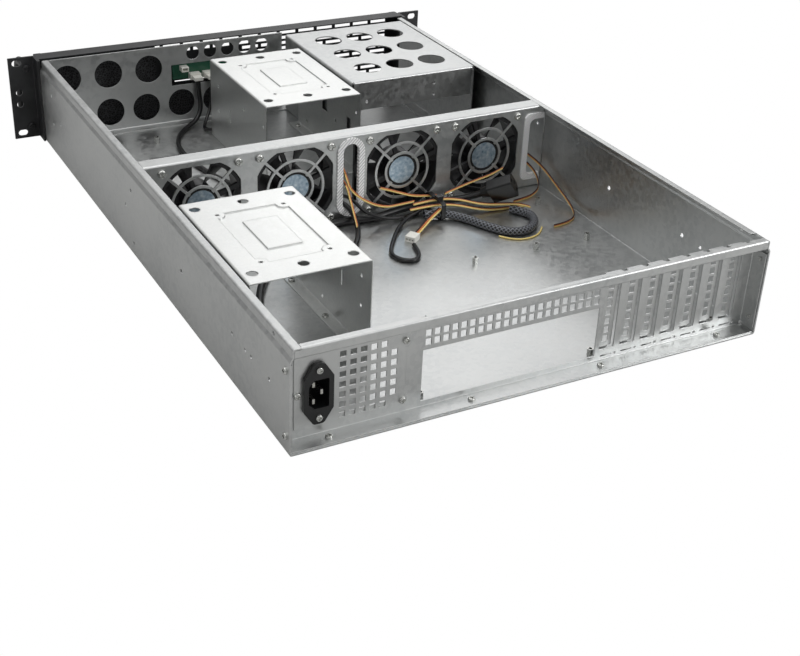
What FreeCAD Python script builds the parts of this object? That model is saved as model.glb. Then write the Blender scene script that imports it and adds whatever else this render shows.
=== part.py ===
"""Empty 2U rackmount server case, 650 mm deep, without its top cover.

Built in a working frame whose y is 0 at the rear face of the rack ears, x to the left seen from
behind, z up from the floor.  Every piece is moved to the row frame, with its origin at the middle
of the outer box's base, when it is written.
"""
import FreeCAD, Part
import math
import os

V = FreeCAD.Vector

# ---------------------------------------------------------------- driving dimensions, mm
RACK_WIDTH = 482.6          # over the ears
BODY_WIDTH = 426.8          # over the side walls
HEIGHT = 88.0               # two rack units
DEPTH = 650.0               # ear plane to the rear edge of the side walls
CHASSIS_FRONT = 17.5        # ear plane to the front edge of the tray
SHEET = 1.2                 # zinc-plated steel
BEND = 0.8                  # inside radius of the folds

BAND_HEIGHT = 8.5           # stepped-in band along the top of the side walls
BAND_STEP = 2.2
TOP_FLANGE = 6.8
SIDE_CLEAR = 0.2            # play between the tray and what stands between its walls
NOTCH_CLEAR = 0.4           # play below the top flanges

FRONT_WALL_REAR = 19.2
WALL_FOOT = 12.0
SMALL_INTAKE_R = 7.3

FAN_WALL_REAR = 319.7
FAN_SIZE = 80.0
FAN_DEPTH = 25.0
FAN_Z = 44.0
FAN_X = (152.3, 60.3, -51.3, -143.3)

REAR_RECESS = 16.0          # rear edge of the tray to the rear panel's face
IO_WIDTH = 158.75
IO_HEIGHT = 44.45
IO_CENTRE_X = 19.9
IO_BOTTOM = 7.2
SLOT_COUNT = 7
SLOT_PITCH = 20.32
SLOT_FIRST_X = -70.4
SLOT_BOTTOM = 12.0

CAGE_TOP = 86.0
CAGE_SHEET = 1.0

BAY_LEFT = -58.2
BAY_RIGHT = -203.8
BAY_FRONT = 28.0
BAY_REAR = 194.4
BAY_HOLE_R = 14.6

BEZEL_FRONT = -7.0
BEZEL_RETURN = 17.2
GRILLE_SLOT = (19.4, 3.6)
GRILLE_PITCH = (23.05, 6.0)

EAR_SHEET = 2.0
EAR_FLANGE = 17.2
HANDLE_ROD_R = 4.0
HANDLE_REACH = 40.0
HANDLE_X = 223.0

STANDOFF_H = 6.5

INLET_X = 185.2
INLET_Z = 38.7

# ---------------------------------------------------------------- worked out from those
HALF = BODY_WIDTH / 2
WALL_IN = HALF - SHEET                       # inner face of the side walls
BAND_Z = HEIGHT - BAND_HEIGHT
BAND_OUT = HALF - BAND_STEP
BAND_IN = BAND_OUT - SHEET
FLANGE_IN = BAND_OUT - TOP_FLANGE            # inner edge of the top flanges
FIT = WALL_IN - SIDE_CLEAR                   # half width of what fits between the walls
FIT_TOP = BAND_IN - SIDE_CLEAR
REAR_FACE = DEPTH - REAR_RECESS
ROW_SHIFT = (HANDLE_REACH + EAR_SHEET - DEPTH) / 2       # working frame to row frame, along y

# tray: floor and side walls
RAIL_HOLES = ((434.0, 44.6), (544.0, 44.6))
WALL_HOLES = ((56.5, 63.9), (56.7, 33.7), (84.5, 43.0), (291.3, 43.6), (569.4, 44.1),
              (580.8, 44.6), (614.2, 44.6), (309.0, 64.4), (309.0, 13.0))
WALL_HOLE_R = 1.7
RAIL_HOLE_R = 2.1
REAR_SCREW_Z = (68.7, 14.3)
REAR_SCREW_Y = DEPTH - 6.5
SCREW_R = 1.5
SCREW_HOLE_R = 1.6
FLOOR_SCREW_X = (178.7, 58.8, -60.9, -179.2)
FLOOR_SCREW_Y = DEPTH - 8.0
BAND_HOLE = (617.5, 84.0)
BOARD_POSTS = ((-185.0, 359.0), (-184.5, 445.0), (-128.0, 444.0), (-61.0, 446.0),
               (93.3, 623.0), (-63.7, 623.0), (-188.0, 623.0), (108.4, 67.7))

# front wall with intake holes
INTAKE_R = 15.0
WINDOW = (-10.0, 72.4, 42.9, 66.4)           # x0, x1, z0, z1 of the window for the front board

# rear panel
LEDGE_Z = 80.5
RAIL_HEM = 6.0
COVER_ROWS = 7
COVER_HOLE = (5.0, 5.5)
COVER_ROW_TOP = 68.0
COVER_ROW_PITCH = 7.93
INLET_SCREW_PITCH = 40.0
INLET_SCREW_AT = [(INLET_X, INLET_Z + s * INLET_SCREW_PITCH / 2) for s in (-1, 1)]
PLATE_SCREWS = ((114.6, 64.7), (115.5, 13.3), (201.0, 39.4))
SLOT_SCREW_X = 3.0
SLOT_SCREW_Y = DEPTH - 8.5
SLOT_X = [SLOT_FIRST_X - SLOT_PITCH * i for i in range(SLOT_COUNT)]

# slot covers
COVER_SHEET = 0.8
COVER_BACK = REAR_FACE - SHEET - 2.0         # front face of the covers

# inlet plate and power inlet
PLATE_SHEET = 1.0
PLATE_FACE = REAR_FACE + PLATE_SHEET
INLET_BODY = (20.0, 27.4)
INLET_BODY_DEPTH = 22.0
BODY_CLEAR = 0.2
PIN_SIZE = (2.0, 4.0)
PIN_TAIL = 8.0               # pins behind the inlet's body, inside the boot
FLANGE_THICK = 3.2
SOCKET_DEPTH = 17.0
INLET_REAR = PLATE_FACE + FLANGE_THICK
PIN_PLACES = ((3.2, -7.0), (3.2, 7.0), (-3.2, 0.0))

# fan wall, fans and trims
FAN_OPENING = 76.0
FAN_OPENING_R = 42.2
GRILLE_RINGS = ((29.3, 26.8), (18.7, 16.2))  # outer and inner radius of each
SPOKE_WIDTH = 2.5
FAN_WALL_FOOT = 12.0
FAN_WALL_FLANGE = 16.0
FAN_WALL_SCREW_Y = 10.7                      # from the wall's rear face to its side screws
FAN_WALL_SCREW_Z = (64.4, 13.0)
WALL_SCREW_CLEAR_R = 2.3
FAN_HALF_SCREW = 35.75
CENTRE_SLOT = (4.1, 46.0, 16.4, 67.8)        # x, z, width, height inside its trim
SIDE_SLOT = (-193.4, 16.0, 75.0)             # left edge, bottom and top inside its trim
TRIM_EDGE = 2.6                              # wall edge inside the trim
TRIM_REACH = 5.8
TRIM_LIP = 1.6                               # trim proud of the wall on either face
TRIM_CORNER = 6.0
FAN_FRONT = FAN_WALL_REAR - SHEET - FAN_DEPTH
FAN_BORE_R = 38.4
FAN_FLANGE = 4.0
FAN_HOLE_R = 2.2
MOTOR_PLATE_R = 16.5
MOTOR_TUBE_R = 4.0
STRUT_WIDTH = 4.0
STRUT_DEPTH = 3.5
HUB_WALL = 1.6
LABEL_R = 13.5
LABEL_THICK = 0.3
FAN_SCREW_R = 2.1
ROTOR_TURN = 17.0                            # rest angle from one fan to the next
FAN_BLADE_R = 37.2
FAN_HUB_R = 17.0
FAN_SHAFT_R = 1.5
RUNNING_CLEAR = 0.05
FAN_BLADES = 7

# drive cages
CAGE_HOLE_R = 4.5
CAGE_FOOT = 12.0
CAGE_RECESS = (62.4, 94.2, 28.6)             # width, length, distance from the cage's rear end
CAGE_RAISED = (30.0, 52.0)
CAGE_SCREWS = (13.7, 82.6)                   # from the cage's front end
CAGE_STEP = 1.0
CAGE_HOLE_X = 42.4
CAGE_HOLE_Y = (15.9, 137.5)                  # from the cage's rear end
CAGE_FOOT_SCREW = 7.5                        # from the cage's wall to its floor screws
BOSS_R = 6.5
DRIVE_HOLES = [(dy, z) for dy in (12.0, 62.5, 133.5) for z in (10.6, 37.4, 64.1)]
CAGE_FRONT = (-56.4, 46.8, 69.5, 219.5)
CAGE_REAR = (97.9, 201.1, 398.0, 548.5)

# front bay cover
BAY_HOLES = [(x, y) for x in (-94.3, -132.4, -170.8) for y in (62.9, 110.3, 158.2)]
BAY_FOOT = 14.0
BAY_FLAP_Z = 57.3

# bezel
GRILLE_ROWS = 13
GRILLE_TOP = 79.3
GRILLE_PHASE = -75.95
GRILLE_LIMIT = 200.9
CONTROL_AREA = (-4.0, 76.0, 40.5, 70.0)
BUTTON_AT = (58.0, 55.2)
BUTTON_R = 6.0
RESET_AT = (45.5, 51.0)
RESET_R = 2.0
LED_AT = ((45.5, 60.5), (39.5, 60.5), (33.5, 60.5))
LED_R = 1.5
USB_AT = ((23.0, 55.2), (12.0, 55.2))
USB_SIZE = (5.8, 13.2)
BOARD_FRONT = 8.0
BOARD_SHEET = 1.6
BOARD_BOX = (4.9, 67.8, 46.2, 64.3)
BEZEL_BACK = BEZEL_FRONT + SHEET
BOARD_POST_R = 1.8
HEADERS = ((44.0, 49.6, 12.0, 6.0), (29.0, 49.6, 10.0, 6.0), (56.0, 59.0, 8.0, 5.0))
HEADER_WALL = 1.0
CABLE_PLUG_PLAY = 0.2
FOAM_DEPTH = 8.0
FOAM_EDGE = 4.0

# front board, ports and buttons
TRAVEL = 2.0

# ears and handles
EAR_SLOT = (10.0, 6.6)
EAR_SLOT_X = 232.55
EAR_SLOT_Z = (5.9, 82.1)
EAR_HOLE_Z = (37.65, 50.35)
HANDLE_Z = (12.25, 75.75)
EAR_SCREW_R = 1.9
EAR_SCREW_HOLE_R = 2.0

# cables
ARC_SHARE = 0.45
INLET_LEAD_D = 7.0
SLEEVE_D = 8.0
FRONT_CABLE_D = 5.0
USB_CABLE_D = 3.6
LOOP_D = 4.0
SIDE_LOOP_D = 3.4
FAN_LEAD_D = 2.6
WIRE_D = 1.6
INLET_BOOT = (18.0, 25.0, 16.0)              # width, height, length
# Points are in the working frame: x, y, z.
INLET_LEAD = [
    (185.2, 596.5, 38.7), (185.0, 574.0, 36.5), (180.0, 552.0, 20.0), (172.0, 520.0, 6.5),
    (160.0, 480.0, 4.8), (146.0, 432.0, 4.8), (118.0, 388.0, 4.8), (84.0, 350.0, 4.8),
    (44.0, 330.0, 4.8), (10.0, 326.0, 4.8), (-16.0, 332.0, 4.8), (-40.0, 327.8, 6.0),
    (-64.0, 328.5, 8.4), (-83.0, 329.0, 8.3), (-101.0, 330.0, 8.0), (-116.2, 334.9, 9.6),
    (-127.8, 344.5, 16.5)]
SLEEVE_LOOP = [
    (-62.0, 347.4, 7.0), (-82.0, 350.2, 6.7), (-98.0, 368.0, 5.3), (-107.0, 390.0, 5.3),
    (-120.0, 410.5, 5.3), (-141.0, 413.5, 5.3), (-157.5, 398.0, 5.3), (-161.0, 379.5, 5.3),
    (-148.5, 365.5, 5.3)]
SHORT_LOOP = [
    (-72.0, 338.5, 11.0), (-50.0, 342.0, 7.0), (-28.0, 358.0, 3.3), (-10.0, 382.0, 3.3),
    (3.0, 402.0, 3.3), (0.0, 416.0, 3.3), (-11.0, 423.5, 3.3), (-22.5, 414.0, 3.3),
    (-26.0, 394.0, 3.3)]
FRONT_CABLE = [
    (44.0, 24.5, 47.8), (44.0, 24.5, 34.0), (42.5, 27.5, 18.0), (50.0, 33.0, 6.0),
    (66.0, 45.0, 3.8), (83.0, 64.0, 3.8), (95.0, 96.0, 3.8), (94.0, 140.0, 3.8),
    (84.0, 190.0, 3.8), (62.0, 238.0, 3.8), (30.0, 272.0, 8.0), (14.0, 292.0, 15.0),
    (8.5, 314.0, 18.5), (5.0, 331.0, 13.0), (9.0, 350.0, 4.5), (22.0, 372.0, 3.8),
    (44.0, 398.0, 3.8)]
USB_CABLE = [
    (29.0, 24.5, 47.8), (29.0, 24.5, 34.0), (32.0, 28.0, 16.0), (43.0, 39.0, 4.0),
    (50.0, 54.0, 3.1), (42.0, 65.0, 5.0), (31.0, 80.0, 4.6), (20.0, 104.0, 3.1),
    (14.0, 146.0, 3.1), (8.0, 196.0, 3.1), (3.0, 240.0, 3.1), (0.0, 274.0, 7.0),
    (-1.0, 298.0, 17.0), (-0.5, 318.0, 20.5), (-4.0, 333.0, 15.0), (-20.0, 341.0, 7.5),
    (-42.0, 340.0, 4.0), (-62.0, 335.5, 3.1)]
SIDE_LOOP_SMALL = [
    (-199.0, 304.0, 26.0), (-200.0, 319.0, 24.0), (-204.0, 328.0, 15.0), (-201.5, 336.0, 6.0),
    (-190.0, 342.5, 3.0), (-176.0, 346.5, 3.0), (-164.0, 348.0, 3.0)]
SIDE_LOOP_LARGE = [
    (-203.0, 298.0, 32.0), (-204.0, 316.0, 31.0), (-206.5, 335.0, 25.5), (-207.0, 357.0, 17.0),
    (-208.0, 380.0, 8.0), (-203.0, 400.0, 3.2), (-187.0, 411.0, 3.0), (-170.0, 411.5, 3.0)]
THIN_LOOP = [
    (-158.5, 407.5, 2.1), (-150.0, 418.5, 2.1), (-134.0, 424.0, 2.1), (-118.0, 420.0, 2.1),
    (-110.0, 408.0, 2.1)]
RIBBONS = (
    [(-56.0, 336.0, 14.0), (-78.0, 338.5, 16.8), (-100.0, 343.5, 15.6), (-122.0, 354.5, 9.9),
     (-143.0, 363.5, 10.6), (-158.0, 367.8, 9.8), (-168.0, 370.5, 6.0)],
    [(-50.0, 341.0, 11.5), (-72.0, 345.0, 14.5), (-95.0, 348.5, 12.5), (-120.0, 354.0, 5.0),
     (-140.0, 357.0, 2.5), (-168.0, 360.0, 2.5)])
PLUG_WIRES = [(-78.0, 351.5, 12.5), (-64.0, 358.0, 9.0), (-48.0, 369.0, 5.0), (-36.0, 378.0, 3.9)]
FAN_LEADS = (
    [(10.5, 304.0, 43.0), (10.9, 324.4, 42.6), (8.5, 328.0, 29.0), (9.0, 338.0, 17.5),
     (11.0, 349.5, 9.0)],
    [(7.0, 306.0, 53.0), (9.5, 321.2, 48.5), (6.0, 324.0, 34.0), (-10.5, 327.5, 20.5),
     (-28.0, 330.5, 13.6), (-44.0, 329.7, 13.2), (-60.0, 330.0, 14.0)],
    [(-27.0, 321.1, 30.0), (-35.0, 322.5, 27.5), (-47.0, 324.5, 23.0), (-60.0, 326.5, 18.4),
     (-72.0, 328.6, 17.0), (-84.0, 331.0, 16.6)],
    [(-165.0, 321.1, 28.0), (-152.0, 322.0, 23.5), (-134.0, 324.5, 22.0), (-112.0, 328.0, 19.5),
     (-92.0, 334.0, 18.2)])
RIBBON_STEP = WIRE_D + 0.1

# what is on the cables
PLUG_AT = INLET_LEAD[-1]
PLUG_AXIS = V(*INLET_LEAD[-1]) - V(*INLET_LEAD[-2])      # the way its mouth faces
PLUG_SIZE = (34.0, 22.5, 16.0)
PLUG_RELIEF = 9.0
PLUG_CHAMFER = 4.5
PLUG_SLOT = (16.0, 2.4, 4.6)                 # deep, across, high
FAN_PLUG_AT = PLUG_WIRES[-1]
FAN_PLUG_TURN = 36.0                         # heading of its mouth, degrees from +x
FAN_PLUG_BOX = (0.0, 12.0, -5.0, 5.0, -2.6, 3.0)
FAN_PLUG_PITCH = 3.0
FAN_PLUG_HOLE = 1.8
TIE_AT = (-78.5, 340.5, 10.4)
TIE_SIZE = (4.6, 33.0, 18.4, 1.0)

os.makedirs("parts", exist_ok=True)
made = {}


# ---------------------------------------------------------------- helpers
def save(name, shape):
    """Keep a finished piece under its node name."""
    made[name] = shape


def box(x0, x1, y0, y1, z0, z1):
    low = V(min(x0, x1), min(y0, y1), min(z0, z1))
    return Part.makeBox(abs(x1 - x0), abs(y1 - y0), abs(z1 - z0), low)


def rod(x, y, z, radius, length, axis):
    return Part.makeCylinder(radius, length, V(x, y, z), axis)


def outline(points, radii, place):
    """A closed wire through 2D points with its corners rounded; place turns (u, v) into a vector."""
    count = len(points)
    starts, arcs = [], []
    for i in range(count):
        before, here, after = points[i - 1], points[i], points[(i + 1) % count]
        radius = radii[i]
        if radius <= 0:
            starts.append((here, here))
            arcs.append(None)
            continue
        ux, uy = before[0] - here[0], before[1] - here[1]
        wx, wy = after[0] - here[0], after[1] - here[1]
        lu, lw = math.hypot(ux, uy), math.hypot(wx, wy)
        ux, uy, wx, wy = ux / lu, uy / lu, wx / lw, wy / lw
        half = math.acos(max(-1.0, min(1.0, ux * wx + uy * wy))) / 2
        run = radius / math.tan(half)
        enter = (here[0] + ux * run, here[1] + uy * run)
        leave = (here[0] + wx * run, here[1] + wy * run)
        bx, by = ux + wx, uy + wy
        size = math.hypot(bx, by)
        deep = radius / math.sin(half) - radius
        mid = (here[0] + bx / size * deep, here[1] + by / size * deep)
        starts.append((enter, leave))
        arcs.append(mid)
    edges = []
    for i in range(count):
        enter, leave = starts[i]
        if arcs[i] is not None:
            edges.append(Part.Arc(place(*enter), place(*arcs[i]), place(*leave)).toShape())
        following = starts[(i + 1) % count][0]
        if math.hypot(following[0] - leave[0], following[1] - leave[1]) > 1e-6:
            edges.append(Part.LineSegment(place(*leave), place(*following)).toShape())
    return Part.Wire(edges)


def prism(points, radii, place, along):
    """A solid with the rounded outline, pushed along a vector."""
    return Part.Face(outline(points, radii, place)).extrude(along)


def folded_outline(path, thickness):
    """Outline of a sheet folded along a path, the sheet lying on the path's left side."""
    def side(offset):
        line = []
        for i, here in enumerate(path):
            normals = []
            for a, b in ((i - 1, i), (i, i + 1)):
                if a < 0 or b >= len(path):
                    continue
                dx, dy = path[b][0] - path[a][0], path[b][1] - path[a][1]
                size = math.hypot(dx, dy)
                normals.append((-dy / size, dx / size))
            nx = sum(n[0] for n in normals) / len(normals)
            ny = sum(n[1] for n in normals) / len(normals)
            scale = offset / (nx * nx + ny * ny)
            line.append((here[0] + nx * scale, here[1] + ny * scale))
        return line

    turns = [0.0]
    for i in range(1, len(path) - 1):
        ax, ay = path[i][0] - path[i - 1][0], path[i][1] - path[i - 1][1]
        bx, by = path[i + 1][0] - path[i][0], path[i + 1][1] - path[i][1]
        turns.append(1.0 if ax * by - ay * bx > 0 else -1.0)
    turns.append(0.0)
    right, left = side(0.0), side(thickness)
    right_r = [0.0 if t == 0 else (BEND + thickness if t > 0 else BEND) for t in turns]
    left_r = [0.0 if t == 0 else (BEND if t > 0 else BEND + thickness) for t in turns]
    return right + left[::-1], right_r + left_r[::-1]


def on_side(path, side):
    """A path drawn for +x, or its mirror image with the sheet on the same face."""
    return path if side > 0 else [(-u, v) for u, v in reversed(path)]


def fold_along_y(path, y0, y1, thickness=SHEET):
    points, radii = folded_outline(path, thickness)
    return prism(points, radii, lambda u, v: V(u, y0, v), V(0, y1 - y0, 0))


def fold_along_x(path, x0, x1, thickness=SHEET):
    """The path is in (y, z)."""
    points, radii = folded_outline(path, thickness)
    return prism(points, radii, lambda u, v: V(x0, u, v), V(x1 - x0, 0, 0))


def round_holes_y(places, radius, y0, y1):
    return [rod(x, y0, z, radius, y1 - y0, V(0, 1, 0)) for x, z in places]


def square_holes_y(places, width, height, y0, y1):
    return [box(x - width / 2, x + width / 2, y0, y1, z - height / 2, z + height / 2)
            for x, z in places]


def obround_y(x, z, width, height, y0, y1):
    """A slot with round ends, through y; its long way is up if it is taller than wide."""
    radius = min(width, height) / 2
    corners = [(x - width / 2, z - height / 2), (x + width / 2, z - height / 2),
               (x + width / 2, z + height / 2), (x - width / 2, z + height / 2)]
    return prism(corners, [radius * 0.999] * 4, lambda u, v: V(u, y0, v), V(0, y1 - y0, 0))


def pan_screw(x, y, z, way, head_r=3.0, head_h=2.2, shank_r=1.5, length=5.0):
    """A pan-head cross-recess screw; way points from the seat out through the head."""
    turn = FreeCAD.Rotation(V(0, 0, 1), way)
    head = Part.makeCylinder(head_r, head_h)
    rim = [e for e in head.Edges if abs(e.BoundBox.ZMin - head_h) < 1e-6 and e.Closed]
    head = head.makeFillet(head_h * 0.55, rim)
    arm, wide = head_r * 0.62, head_r * 0.2
    cross = box(-arm, arm, -wide, wide, head_h * 0.45, head_h + 1).fuse(
        box(-wide, wide, -arm, arm, head_h * 0.45, head_h + 1))
    screw = head.cut(cross).fuse(Part.makeCylinder(shank_r, length, V(0, 0, -length)))
    screw.Placement = FreeCAD.Placement(V(x, y, z), turn)
    return screw


def small_screw(x, y, z, way, length):
    """The M3 screw used all over the case."""
    return pan_screw(x, y, z, way, 2.9, 2.0, SCREW_R, length)


# ---------------------------------------------------------------- tray: floor and side walls


def make_tray():
    left = [(FLANGE_IN, HEIGHT), (BAND_OUT, HEIGHT), (BAND_OUT, BAND_Z + 1.5),
            (HALF, BAND_Z - 1.5), (HALF, 0)]
    right = [(-x, z) for x, z in reversed(left)]
    points, radii = folded_outline((left + right)[::-1], SHEET)
    tray = prism(points, radii, lambda u, v: V(u, CHASSIS_FRONT, v),
                 V(0, DEPTH - CHASSIS_FRONT, 0))
    tongue = box(-FIT, FIT, BEZEL_FRONT + SHEET, CHASSIS_FRONT + 5, 0, SHEET)
    lip_z = HEIGHT - SHEET - 0.01
    cuts = [box(-BAND_IN, 1 - FLANGE_IN, REAR_FACE, DEPTH + 1, lip_z, HEIGHT + 1)]
    for side in (-1, 1):
        start = side * (HALF + 1)
        way = V(-side, 0, 0)
        cuts += [rod(start, y, z, WALL_HOLE_R, 6, way) for y, z in WALL_HOLES + (BAND_HOLE,)]
        cuts += [rod(start, y, z, RAIL_HOLE_R, 6, way) for y, z in RAIL_HOLES]
        cuts += [rod(start, REAR_SCREW_Y, z, SCREW_HOLE_R, 6, way) for z in REAR_SCREW_Z]
    cuts += [rod(x, FLOOR_SCREW_Y, -1, SCREW_HOLE_R, 5, V(0, 0, 1)) for x in FLOOR_SCREW_X]
    return tray.fuse(tongue).cut(cuts)


save("chassis_tray", make_tray())


def flange_notch(side, y0, y1):
    """Clears the corner of a cross piece below the tray's top flange."""
    return box(side * (FLANGE_IN - SIDE_CLEAR), side * HALF, y0, y1, HEIGHT - SHEET - NOTCH_CLEAR,
               HEIGHT + 1)


def between_walls(shape):
    """Trims a cross piece to the side walls and their stepped-in band."""
    top = box(-FIT_TOP, FIT_TOP, -60, DEPTH + 1, BAND_Z - 4, HEIGHT + 1)
    low = box(-FIT, FIT, -60, DEPTH + 1, -1, BAND_Z - 4)
    return shape.common(top.fuse(low))


# ---------------------------------------------------------------- front wall with intake holes


def make_front_wall():
    rear = FRONT_WALL_REAR
    wall = fold_along_x([(rear + WALL_FOOT, SHEET * 2), (rear, SHEET * 2), (rear, HEIGHT)],
                        BAY_LEFT + 0.6, FIT)
    upper = [(186.5 - 44.5 * i, 65.3) for i in range(3)]
    lower = [(182.0 - 40.0 * i, 23.0) for i in range(6)]
    small = [(47.4 - 20.1 * i, 77.4) for i in range(5)]
    cuts = round_holes_y(upper + lower, INTAKE_R, 0, rear + 0.5)
    cuts += round_holes_y(small, SMALL_INTAKE_R, 0, rear + 0.5)
    cuts.append(box(WINDOW[0], WINDOW[1], 0, 40, WINDOW[2], WINDOW[3]))
    cuts.append(flange_notch(1, 0, 40))
    return between_walls(wall.cut(cuts))


save("front_wall", make_front_wall())


# ---------------------------------------------------------------- rear panel


def make_rear_panel():
    path = [(DEPTH - 1, 2 * SHEET), (REAR_FACE, 2 * SHEET), (REAR_FACE, LEDGE_Z - SHEET),
            (DEPTH, LEDGE_Z - SHEET), (DEPTH, HEIGHT), (DEPTH - RAIL_HEM, HEIGHT)]
    panel = fold_along_x(path, -FIT, FIT)
    flange_z = (6.0, 75.0)
    for side in (-1, 1):
        points, radii = folded_outline(on_side(
            [(FIT - SHEET, DEPTH - 1), (FIT - SHEET, REAR_FACE), (FIT - 6, REAR_FACE)], side), SHEET)
        flange = prism(points, radii, lambda u, v: V(u, v, flange_z[0]),
                       V(0, 0, flange_z[1] - flange_z[0]))
        trim = box(side * (FIT - 3), side * (FIT + 1), REAR_FACE - 3, DEPTH - 3, 3, LEDGE_Z - 2)
        panel = panel.cut(trim).fuse(flange)
    y0, y1 = REAR_FACE - 5, REAR_FACE + 2
    cuts = [box(IO_CENTRE_X - IO_WIDTH / 2, IO_CENTRE_X + IO_WIDTH / 2, y0, y1,
                IO_BOTTOM, IO_BOTTOM + IO_HEIGHT)]
    vents = [(95.0 - 7.51 * i, z) for i in range(21) for z in (65.7, 58.2)]
    cuts += square_holes_y(vents, 5.2, 5.5, y0, y1)
    cuts.append(box(INLET_X + 12.6, 119.5, y0, y1, 15.0, 69.0))
    cuts += round_holes_y(PLATE_SCREWS, SCREW_HOLE_R, y0, y1)
    for x in SLOT_X:
        cuts.append(prism(
            [(x - 7.3, SLOT_BOTTOM), (x + 7.3, SLOT_BOTTOM), (x + 7.3, 77.5), (x - 7.3, 77.5)],
            [2.0, 2.0, 0, 0], lambda u, v: V(u, y0, v), V(0, y1 - y0, 0)))
        cuts.append(box(x + 4.9, x - 5.8, y0, y1, 5.3, 6.5))
        cuts.append(rod(x - 9, y0, 6.0, 1.2, y1 - y0, V(0, 1, 0)))
        cuts.append(rod(x + SLOT_SCREW_X, SLOT_SCREW_Y, LEDGE_Z - 3, SCREW_HOLE_R, 5, V(0, 0, 1)))
        cuts.append(box(x - 2, x + 2, DEPTH - RAIL_HEM - 1, DEPTH - RAIL_HEM + 2,
                        HEIGHT - 2, HEIGHT + 1))
    cuts.append(box(105.0, 109.0, DEPTH - RAIL_HEM - 1, DEPTH - RAIL_HEM + 2,
                    HEIGHT - 2, HEIGHT + 1))
    cuts += [rod(x, FLOOR_SCREW_Y, 0, SCREW_HOLE_R, 4, V(0, 0, 1)) for x in FLOOR_SCREW_X]
    for side in (-1, 1):
        cuts += [rod(side * (HALF + 1), REAR_SCREW_Y, z, SCREW_HOLE_R, 6, V(-side, 0, 0))
                 for z in REAR_SCREW_Z]
    cuts.append(flange_notch(1, REAR_FACE - 30, DEPTH + 1))
    return between_walls(panel.cut(cuts))


save("rear_panel", make_rear_panel())


# ---------------------------------------------------------------- slot covers


def make_slot_cover(x):
    front, rear = COVER_BACK, COVER_BACK + COVER_SHEET
    cover = fold_along_x([(rear, 13.4), (rear, LEDGE_Z), (DEPTH - 3.5, LEDGE_Z)],
                         x - 6.0, x + 9.0, COVER_SHEET)
    rows = [(x + 0.3, COVER_ROW_TOP - COVER_ROW_PITCH * i) for i in range(COVER_ROWS)]
    cuts = square_holes_y(rows, COVER_HOLE[0], COVER_HOLE[1], front - 2, rear + 2)
    cuts.append(rod(x + SLOT_SCREW_X, SLOT_SCREW_Y, LEDGE_Z - 1, SCREW_HOLE_R, 4, V(0, 0, 1)))
    tongue = box(x - 2.5, x + 4.5, front, rear, 4.0, 14.0)
    return cover.fuse(tongue).cut(cuts)


save("slot_covers", Part.Compound([make_slot_cover(x) for x in SLOT_X]))
case_screws = [small_screw(x + SLOT_SCREW_X, SLOT_SCREW_Y, LEDGE_Z + COVER_SHEET, V(0, 0, 1), 4.0)
               for x in SLOT_X]

# ---------------------------------------------------------------- inlet plate and power inlet


def make_inlet_plate():
    points = [(203.4, 9.8), (203.4, 70.3), (110.4, 70.3), (110.4, 61.6), (113.5, 59.8),
              (113.5, 18.2), (111.0, 16.4), (111.0, 12.4), (114.5, 9.8)]
    radii = [1.0, 1.0, 2.5, 1.5, 0.8, 0.8, 1.0, 1.0, 1.5]
    plate = prism(points, radii, lambda u, v: V(u, REAR_FACE, v), V(0, PLATE_SHEET, 0))
    y0, y1 = REAR_FACE - 1, PLATE_FACE + 1
    vents = [(165.2 - 8.3 * c, 65.5 - 8.5 * r) for r in range(7) for c in range(6)
             if not (c == 5 and r in (0, 6))]
    cuts = square_holes_y(vents, 5.0, 5.0, y0, y1)
    cuts += round_holes_y(PLATE_SCREWS, SCREW_HOLE_R, y0, y1)
    cuts += round_holes_y(INLET_SCREW_AT, SCREW_HOLE_R, y0, y1)
    cuts += square_holes_y([(INLET_X, INLET_Z)], INLET_BODY[0] + 2 * BODY_CLEAR,
                           INLET_BODY[1] + 2 * BODY_CLEAR, y0, y1)
    return plate.cut(cuts)


def pin_blades(y0, y1):
    """The three flat pins as far as they run from y0 to y1."""
    return square_holes_y([(INLET_X + u, INLET_Z + v) for u, v in PIN_PLACES], *PIN_SIZE, y0, y1)


def make_power_inlet():
    half_w, tip, shoulder = 11.8, 25.3, 13.5
    shape = [(-half_w, -shoulder), (-4.2, -tip), (4.2, -tip), (half_w, -shoulder),
             (half_w, shoulder), (4.2, tip), (-4.2, tip), (-half_w, shoulder)]
    flange = prism([(INLET_X + u, INLET_Z + v) for u, v in shape], [1.5, 3.5, 3.5, 1.5] * 2,
                   lambda u, v: V(u, PLATE_FACE, v), V(0, FLANGE_THICK, 0))
    w, h = INLET_BODY
    body = box(INLET_X - w / 2, INLET_X + w / 2, PLATE_FACE - INLET_BODY_DEPTH, PLATE_FACE + 0.5,
               INLET_Z - h / 2, INLET_Z + h / 2)
    cw, ch, cut = 8.0, 12.0, 4.6
    cavity = prism([(INLET_X - cw, INLET_Z - ch), (INLET_X + cw - cut, INLET_Z - ch),
                    (INLET_X + cw, INLET_Z - ch + cut), (INLET_X + cw, INLET_Z + ch - cut),
                    (INLET_X + cw - cut, INLET_Z + ch), (INLET_X - cw, INLET_Z + ch)],
                   [1.2] * 6, lambda u, v: V(u, INLET_REAR - SOCKET_DEPTH, v), V(0, 20, 0))
    cuts = [cavity]
    cuts += round_holes_y(INLET_SCREW_AT, SCREW_HOLE_R, PLATE_FACE - 1, INLET_REAR + 1)
    return flange.fuse(body).cut(cuts + pin_blades(PLATE_FACE - INLET_BODY_DEPTH - 1, INLET_REAR))


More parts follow.
